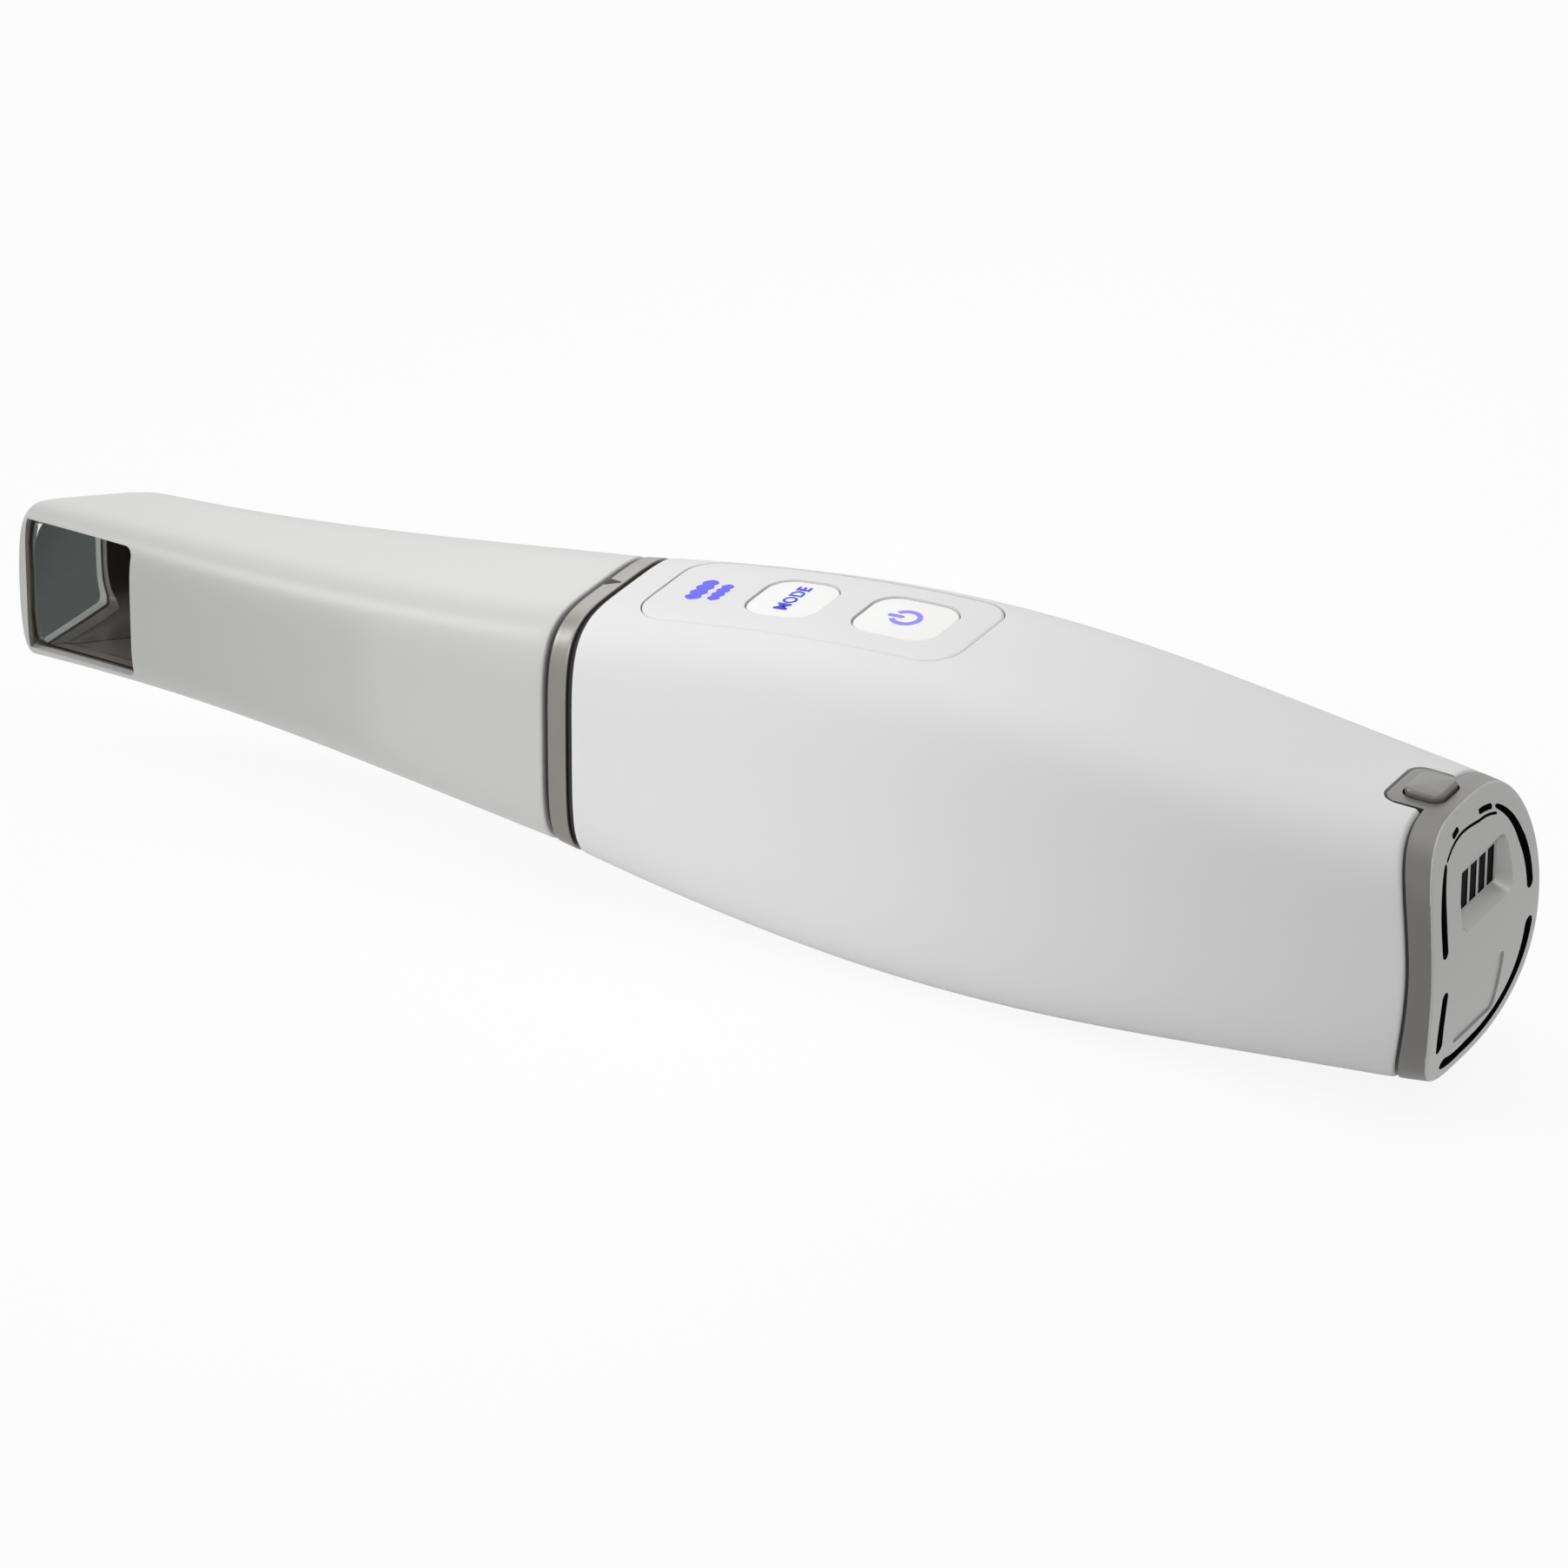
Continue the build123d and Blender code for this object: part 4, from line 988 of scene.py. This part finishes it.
class SCANNER_OT_controls(bpy.types.Operator):
    """Build the control panel, its two keys and their legends"""

    bl_idname = "scanner.controls"
    bl_label = "Controls"

    def execute(self, context):
        sizes, colours = settings_of("sizes"), settings_of("colours")
        white = moulded_abs("moulded_white_abs_keys", colours.keys, 0.4)
        panel = plate("panel_plate", PANEL_X, PANEL_LENGTH, 2 * PANEL_HALF_WIDTH, PANEL_CORNER,
                      plate_rows(2 * PANEL_HALF_WIDTH, PANEL_THICKNESS, sizes.panel_edge / MM))
        for x, length in ((MODE_X, MODE_LENGTH), (POWER_X, POWER_LENGTH)):
            grown = 2 * KEY_GAP
            cut(panel, column_cutter(x, length + grown, KEY_WIDTH + grown, KEY_CORNER + KEY_GAP,
                                     OPENING_FROM_Z))
        smooth(panel)
        dress(panel, "handle", "panel_plastic", white)
        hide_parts("control_panel")
        mode = make_key("mode_key_cap", MODE_X, MODE_LENGTH)
        dress(mode, "mode_key", "key_plastic", white)
        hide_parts("mode_button")
        power = make_key("power_key_cap", POWER_X, POWER_LENGTH)
        dress(power, "power_key", "key_plastic", white)
        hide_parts("power_button")
        violet = lit_ink("lit_violet_print", colours.ink)
        pale = lit_ink("lit_pale_violet_print", colours.pale_ink)
        legend("upper_jaw_legend", UPPER_JAW_AT, tooth_row(*UPPER_JAW_SIZE), 48, 4, violet, "handle")
        legend("lower_jaw_legend", LOWER_JAW_AT, tooth_row(*LOWER_JAW_SIZE), 48, 4, violet, "handle")
        mode_word(violet)
        legend("power_ring_legend", (POWER_X, 0.0), power_arc(), 48, 3, pale, "power_key")
        legend("power_bar_legend", POWER_BAR_AT, power_bar(), 12, 4, pale, "power_key")
        return {"FINISHED"}


def end_face(z, depth=0.0):
    """Place of the domed end face at a height, less a depth."""
    return TAIL_X - depth - arch(z, TAIL_RADIUS, TAIL_CROWN_Z)


def cap_turns():
    """Turns of the cap's columns, closer together at the tongue, and which of them run along it."""
    half_width = float(section(np.array([TONGUE_X]))[0][0])
    corner = np.linspace(TONGUE_HALF_WIDTH - TONGUE_CORNER, TONGUE_HALF_WIDTH, 9)
    side = np.arctan2(half_width, corner)
    beside = side[-1] - 0.0006
    turns = np.concatenate([np.linspace(0, 2 * math.pi, 240, endpoint=False), side, math.pi - side,
                            [beside, math.pi - beside]])
    turns = np.unique(np.round(turns, 9))
    return turns, np.abs(turns - math.pi / 2) < math.pi / 2 - side[-1] + 1e-6


def cap_skin(edge):
    """The end cap as one closed skin: domed face, rounded rim, band, tongue and the back of them."""
    turns, tongue = cap_turns()
    first_guess = 222.0
    rows = [("face", k / 20, CAP_EDGE) for k in range(20)]
    rows += [("rim", along, inward) for along, inward in rounded_edge(CAP_EDGE, 8, False)]
    rows += [("band", k / 4, 0.0) for k in range(1, 5)]
    rows += [("tongue", k / 10, 0.0) for k in range(1, 11)]
    rows += [("edge", along, inward) for along, inward in rounded_edge(edge, 4, False)[::-1]]
    rows += [("edge", 0.0, TONGUE_DEPTH), ("back", 1.0, TONGUE_DEPTH)]
    rows += [("back", 1 - k / 8, TONGUE_DEPTH) for k in range(1, 9)]
    kinds = np.array([row[0] for row in rows])
    first = np.array([row[1] for row in rows])
    insets = np.array([row[2] for row in rows])

    def place(row, column):
        column = column % len(turns)
        turn, on_tongue = turns[column], tongue[column]
        kind, share, inset = kinds[row], first[row], insets[row]
        shrink = np.where((kind == "face") | (kind == "back"), share, 1.0)
        # Each round brings the station closer to the end face, which depends on the height it gives
        x = np.full(len(row), first_guess)
        for _ in range(8):
            y, z = around(x, turn, inset)
            middle = section(x)[1]
            y, z = y * shrink, middle + (z - middle) * shrink
            face = end_face(z)
            parting = parting_end(CAP_FACE_X)(z)
            past = np.clip(np.abs(y) - TONGUE_HALF_WIDTH + TONGUE_CORNER, 0, TONGUE_CORNER)
            tip = TONGUE_X + TONGUE_CORNER - np.sqrt(TONGUE_CORNER ** 2 - past ** 2)
            front = np.where(on_tongue, tip, parting)
            rim = face - CAP_EDGE
            x = np.select(
                [kind == "face", kind == "rim", kind == "band", kind == "tongue", kind == "edge"],
                [face, face - share, rim + share * (parting + edge - rim),
                 parting + edge + share * (front - parting), front + share], parting)
        return x, y, z

    return outward(skin("end_cap_moulding", len(rows) - 1, len(turns), place))


def face_plate(name, middle, size, corner, rows):
    """A rounded rectangle on the end face; rows give its inset, its depth and if it follows the dome."""
    columns, at = outline(size[0], size[1], corner)
    table = np.array(rows)

    def place(row, column):
        inset, depth, domed = table[row].T
        y, z = at(column, inset)
        z = z + middle[1]
        return TAIL_X - depth - domed * arch(z, TAIL_RADIUS, TAIL_CROWN_Z), y + middle[0], z

    return skin(name, len(rows) - 1, columns, place)


def loop_curve(turn, inset):
    """Sideways place and height on a loop inside the tail outline."""
    across, upward, reach = unit_form(turn, TAIL_SQUARENESS)
    middle, half_height = (TAIL_RISE - TAIL_DROP) / 2, (TAIL_RISE + TAIL_DROP) / 2 - inset
    return (TAIL_HALF_WIDTH - inset) * across * reach, middle + half_height * upward * reach


def slot_cutter(degrees_from, degrees_to, insets, width, end_share, depth):
    """A curved slot with round ends; its inset varies along it and its width towards its far end."""
    fine = np.radians(np.linspace(degrees_from, degrees_to, 400))
    drawn = np.interp(np.linspace(0, 1, 400), np.linspace(0, 1, len(insets)), insets)
    y, z = loop_curve(fine, drawn)
    run = np.concatenate([[0], np.cumsum(np.hypot(np.diff(y), np.diff(z)))])
    radius = width / 2
    swing = np.linspace(0, math.pi / 2, 7)
    ends = radius * (1 - np.cos(swing))
    places = np.concatenate([ends, np.linspace(radius, run[-1] - radius, 48)[1:-1], run[-1] - ends[::-1]])
    half = np.concatenate([radius * np.sin(swing), np.full(46, radius), radius * np.sin(swing[::-1])])
    half = half * np.interp(places / run[-1], [0, 0.45, 1], [1, 1, end_share])
    y, z = np.interp(places, run, y), np.interp(places, run, z)
    along_y, along_z = np.gradient(y), np.gradient(z)
    length = np.hypot(along_y, along_z)
    side = np.array([-1, -1, 1, 1])

    def place(row, column):
        corner = column % 4
        out = side[corner] * half[row] / length[row]
        spot_y, spot_z = y[row] - out * along_z[row], z[row] + out * along_y[row]
        floor = (corner == 1) | (corner == 2)
        return np.where(floor, end_face(spot_z, depth), TAIL_X + 1.0), spot_y, spot_z

    return outward(skin("slot", len(places) - 1, 4, place))


def bar_plate(name, y, rows):
    """One bar of the gauge, or the cutter for it."""
    return face_plate(name, (y, BAR_Z), (BAR_WIDTH, BAR_HEIGHT), BAR_CORNER, rows)


def gauge_bars():
    """The four smoked windows of the gauge, joined in one piece."""
    half, low, high = BAR_WIDTH / 2, GAUGE_DEPTH + BAR_SINK, GAUGE_DEPTH + BAR_BELOW
    rows = ((half, low, 0), (0, low, 0), (0, high + BAR_CORNER, 0), (BAR_CORNER, high, 0), (half, high, 0))
    return smooth(join([bar_plate("gauge_window_bars", y, rows) for y in BAR_PLACES]))


def cut_cap(cap, light, shade):
    """Cut the slots, the gauge's recess and bars, the plate and the hole of the release button; the slots,
    the bar openings and the hole get near-black walls, painted shade in these hollows.
    """
    for slot in SLOTS:
        cut(cap, slot_cutter(*slot), shade)
    half = GAUGE_SIZE[1] / 2
    recess = face_plate("recess", GAUGE_AT, GAUGE_SIZE, GAUGE_CORNER, [
        (half, -1.0, 0), (-GAUGE_SLOPE, -1.0, 0), (GAUGE_SLOPE * GAUGE_DEPTH, GAUGE_DEPTH, 0),
        (half, GAUGE_DEPTH, 0)])
    cut(cap, recess, light)
    half = LABEL_SIZE[1] / 2
    label = face_plate("label", LABEL_AT, LABEL_SIZE, LABEL_CORNER, [
        (half * (1 - k / 4), -1.0, 1) for k in range(5)] + [
        (half * k / 4, LABEL_DEPTH, 1) for k in range(5)])
    cut(cap, label, light)
    half, low = BAR_WIDTH / 2, GAUGE_DEPTH + BAR_SINK
    for y in BAR_PLACES:
        cut(cap, bar_plate("bar", y, ((half, 1.0, 0), (0, 1.0, 0), (0, low, 0), (half, low, 0))), shade)
    grown = 2 * RELEASE_GAP
    hole = column_cutter(RELEASE_X, RELEASE_LENGTH + grown, RELEASE_WIDTH + grown,
                         RELEASE_CORNER + RELEASE_GAP, RELEASE_HOLE_FROM_Z)
    cut(cap, hole, shade)


class SCANNER_OT_cap(bpy.types.Operator):
    """Build the end cap in its two greys, with its slots, gauge, seal and release button"""

    bl_idname = "scanner.cap"
    bl_label = "End cap"

    def execute(self, context):
        colours = settings_of("colours")
        light = satin_grey("satin_light_grey_lacquer", colours.cap_face, 0.4)
        dark = satin_grey("satin_dark_grey_lacquer", colours.cap_band, 0.42)
        # Near-black walls for the blind slots, the bar openings and the gap round the release button: painted
        # shade in these hollows
        shade = dark_plastic("painted_shade_slot_walls", "#0c0c0c", 0.6, shine=0.1)
        cap = cap_skin(settings_of("sizes").cap_edge / MM)
        for material in (light, dark):
            cap.data.materials.append(material)
        for face in cap.data.polygons:
            face.material_index = 0 if face.normal.x > 0.3 else 1
        cut_cap(cap, light, shade)
        smooth(cap, 30)
        dress(cap, "battery", "cap_grey")
        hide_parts("end_cap")
        button = plate("release_key", RELEASE_X, RELEASE_LENGTH, RELEASE_WIDTH, RELEASE_CORNER,
                       plate_rows(RELEASE_LENGTH, RELEASE_FOOT, RELEASE_EDGE, RELEASE_DOME,
                                  RELEASE_DOME - RELEASE_PROUD))
        smooth(button, 40)
        dress(button, "release", "cap_grey", satin_grey("satin_mid_grey_lacquer", colours.cap_key, 0.4))
        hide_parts("release_button")
        seal = sleeve("cap_seal_ring", parting_end(PARTING_X), parting_end(CAP_FACE_X), 0.15, SEAL_INSET,
                      HANDLE_WALL, 6)
        smooth(seal, 50)
        dress(seal, "battery", "seal_rubber", dark_plastic("black_seal_rubber", "#141414", 0.55))
        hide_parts("cap_seal")
        windows = gauge_bars()
        smoked = dark_plastic("smoked_gauge_window", "#030303", 0.6, shine=0.05)
        dress(windows, "battery", "gauge_dark", smoked)
        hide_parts("gauge_windows")
        return {"FINISHED"}


class SCANNER_OT_inside(bpy.types.Operator):
    """Finish the pieces inside the handle and on the battery"""

    bl_idname = "scanner.inside"
    bl_label = "Inside"

    def execute(self, context):
        black = dark_plastic("black_moulded_abs", "#1b1b1c", 0.45)
        board = dark_plastic("green_solder_mask", "#0f5130", 0.35, 0.8)
        module = dark_plastic("black_anodised_module", "#161617", 0.4)
        steel = machined_metal("plain_steel", "#b5b4b2", 0.35)
        finishes = {
            "optics_spigot": black, "battery_bay": black, "contact_block": black,
            "keypad_board": board, "main_board": board, "camera_module": module, "projector_module": module,
            "key_switches": dark_plastic("dark_switch_plastic", "#2a2a2b", 0.5),
            "battery_case": dark_plastic("textured_battery_case", "#202124", 0.5),
            "board_screws": steel, "radio_module": steel, "release_spring": steel,
            "optics_chassis": machined_metal("milled_aluminium", "#c3c4c5", 0.4),
            "contact_pins": machined_metal("gold_plated_contact", "#d9b25c", 0.25),
            "battery_terminals": machined_metal("gold_plated_contact", "#d9b25c", 0.25),
            "front_glass": coated_glass("coated_cover_glass", "#dfeeea"),
            "camera_lens": coated_glass("coated_lens_glass", "#c9d6ee"),
            "projector_lens": coated_glass("coated_lens_glass", "#c9d6ee"),
            "status_light_guide": coated_glass("frosted_light_guide", "#d8d6f6"),
        }
        for node, material in finishes.items():
            paint(node, material)
        return {"FINISHED"}


def area_light(name, at, target, size, power, spread):
    """A square soft light that faces a point, with its spread in degrees."""
    data = bpy.data.lights.new(name, "AREA")
    data.shape = "RECTANGLE"
    data.size, data.size_y = size
    data.energy = power
    data.spread = math.radians(spread)
    light = bpy.data.objects.new(name, data)
    bpy.context.scene.collection.objects.link(light)
    light.location = at
    light.rotation_euler = (Vector(target) - Vector(at)).to_track_quat("-Z", "Y").to_euler()


def seen_share(tree):
    """One for rays from the camera and for reflected and refracted ones, else zero."""
    path = add(tree, "ShaderNodeLightPath")
    share = path.outputs["Is Camera Ray"]
    for kind in ("Is Glossy Ray", "Is Transmission Ray"):
        both = add(tree, "ShaderNodeMath", {"operation": "MAXIMUM"})
        tree.links.new(share, both.inputs[0])
        tree.links.new(path.outputs[kind], both.inputs[1])
        share = both.outputs[0]
    return share


def floor_paper():
    """White paper sweep: shows white to the eye and in reflections, and keeps a soft shadow."""
    material = bpy.data.materials.new("white_paper_sweep")
    material.use_nodes = True
    tree = material.node_tree
    tree.nodes.clear()
    paper = add(tree, "ShaderNodeBsdfDiffuse", {"Color": (0.9, 0.9, 0.9, 1)})
    white = add(tree, "ShaderNodeEmission", {"Color": (1, 1, 1, 1), "Strength": 1.0})
    level = add(tree, "ShaderNodeMapRange", {"To Min": 0.0, "To Max": 0.9}, {"Value": seen_share(tree)})
    both = add(tree, "ShaderNodeMixShader", links={"Fac": level.outputs["Result"]})
    tree.links.new(paper.outputs["BSDF"], both.inputs[1])
    tree.links.new(white.outputs["Emission"], both.inputs[2])
    add(tree, "ShaderNodeOutputMaterial", links={"Surface": both.outputs["Shader"]})
    return material


def place_camera():
    """The photograph's viewpoint."""
    turn, lift, roll = (math.radians(a) for a in (CAMERA_AZIMUTH, CAMERA_ELEVATION, CAMERA_ROLL))
    right = Vector((math.cos(turn), math.sin(turn), 0))
    up = Vector((-math.sin(turn) * math.sin(lift), math.cos(turn) * math.sin(lift), math.cos(lift)))
    tilted_right = math.cos(roll) * right + math.sin(roll) * up
    tilted_up = math.cos(roll) * up - math.sin(roll) * right
    back = tilted_right.cross(tilted_up)
    data = bpy.data.cameras.new("camera")
    data.sensor_fit = "HORIZONTAL"
    data.sensor_width = CAMERA_SENSOR
    data.lens = CAMERA_LENS
    camera = bpy.data.objects.new("camera", data)
    bpy.context.scene.collection.objects.link(camera)
    axes = Matrix((tilted_right, tilted_up, back)).transposed().to_4x4()
    camera.matrix_world = Matrix.Translation(CAMERA_AT) @ axes
    bpy.context.scene.camera = camera


class SCANNER_OT_stage(bpy.types.Operator):
    """Set the white floor, the soft lights and the camera"""

    bl_idname = "scanner.stage"
    bl_label = "Stage"

    def execute(self, context):
        deselect()
        bpy.ops.mesh.primitive_plane_add(size=FLOOR_SIZE, location=(0, 0, FLOOR_Z))
        floor = bpy.context.object
        floor.name = "floor"
        bpy.ops.object.transform_apply(location=True)
        floor.data.materials.append(floor_paper())
        # A dark card beside the tip that only reflections see: a painted dark reflection in the tip's mirror,
        # where the white stage has no dark surroundings
        bpy.ops.mesh.primitive_plane_add(size=1, location=REFLECTION_CARD_AT, rotation=(math.pi / 2, 0, 0))
        reflection_card = bpy.context.object
        reflection_card.name = "dark_reflection_card"
        reflection_card.scale = (*REFLECTION_CARD_SIZE, 1)
        bpy.ops.object.transform_apply(location=True, rotation=True, scale=True)
        reflection_card.data.materials.append(dark_plastic("painted_reflection_grey_card", "#636765", 0.7))
        for kind in ("camera", "diffuse", "shadow"):
            setattr(reflection_card, "visible_" + kind, False)
        world = bpy.data.worlds.new("studio")
        context.scene.world = world
        world.use_nodes = True
        world.node_tree.nodes.clear()
        sky = add(world.node_tree, "ShaderNodeBackground", {"Color": (1, 1, 1, 1)})
        level = add(world.node_tree, "ShaderNodeMapRange", {"To Min": AMBIENT, "To Max": 1.0},
                    {"Value": seen_share(world.node_tree)})
        world.node_tree.links.new(level.outputs["Result"], sky.inputs["Strength"])
        add(world.node_tree, "ShaderNodeOutputWorld", links={"Surface": sky.outputs["Background"]})
        for lamp in LAMPS:
            area_light(*lamp)
        place_camera()
        context.scene.view_settings.view_transform = "Standard"
        return {"FINISHED"}


PIECES = (
    SCANNER_OT_tip,
    SCANNER_OT_collar,
    SCANNER_OT_handle,
    SCANNER_OT_controls,
    SCANNER_OT_cap,
    SCANNER_OT_inside,
    SCANNER_OT_stage,
)


class SCANNER_PT_sidebar(bpy.types.Panel):
    """Lists the pieces of the scanner with their sizes and colours."""

    bl_idname = "SCANNER_PT_sidebar"
    bl_label = "Intraoral scanner"
    bl_space_type = "VIEW_3D"
    bl_region_type = "UI"
    bl_category = "Scanner"

    def draw(self, context):
        for group in (context.scene.scanner_sizes, context.scene.scanner_colours):
            for name in group.__annotations__:
                self.layout.prop(group, name)
        for piece in PIECES:
            self.layout.operator(piece.bl_idname)


CLASSES = (ScannerSizes, ScannerColours) + PIECES + (SCANNER_PT_sidebar,)


def register():
    """Add the classes and the settings on the scene."""
    for item in CLASSES:
        bpy.utils.register_class(item)
    bpy.types.Scene.scanner_sizes = bpy.props.PointerProperty(type=ScannerSizes)
    bpy.types.Scene.scanner_colours = bpy.props.PointerProperty(type=ScannerColours)


def unregister():
    """Take them away again."""
    del bpy.types.Scene.scanner_colours
    del bpy.types.Scene.scanner_sizes
    for item in reversed(CLASSES):
        bpy.utils.unregister_class(item)


def main():
    """Build the whole scene in order."""
    register()
    bpy.ops.scanner.tip()
    bpy.ops.scanner.collar()
    bpy.ops.scanner.handle()
    bpy.ops.scanner.controls()
    bpy.ops.scanner.cap()
    bpy.ops.scanner.inside()
    bpy.ops.scanner.stage()


if __name__ == "__main__":
    main()
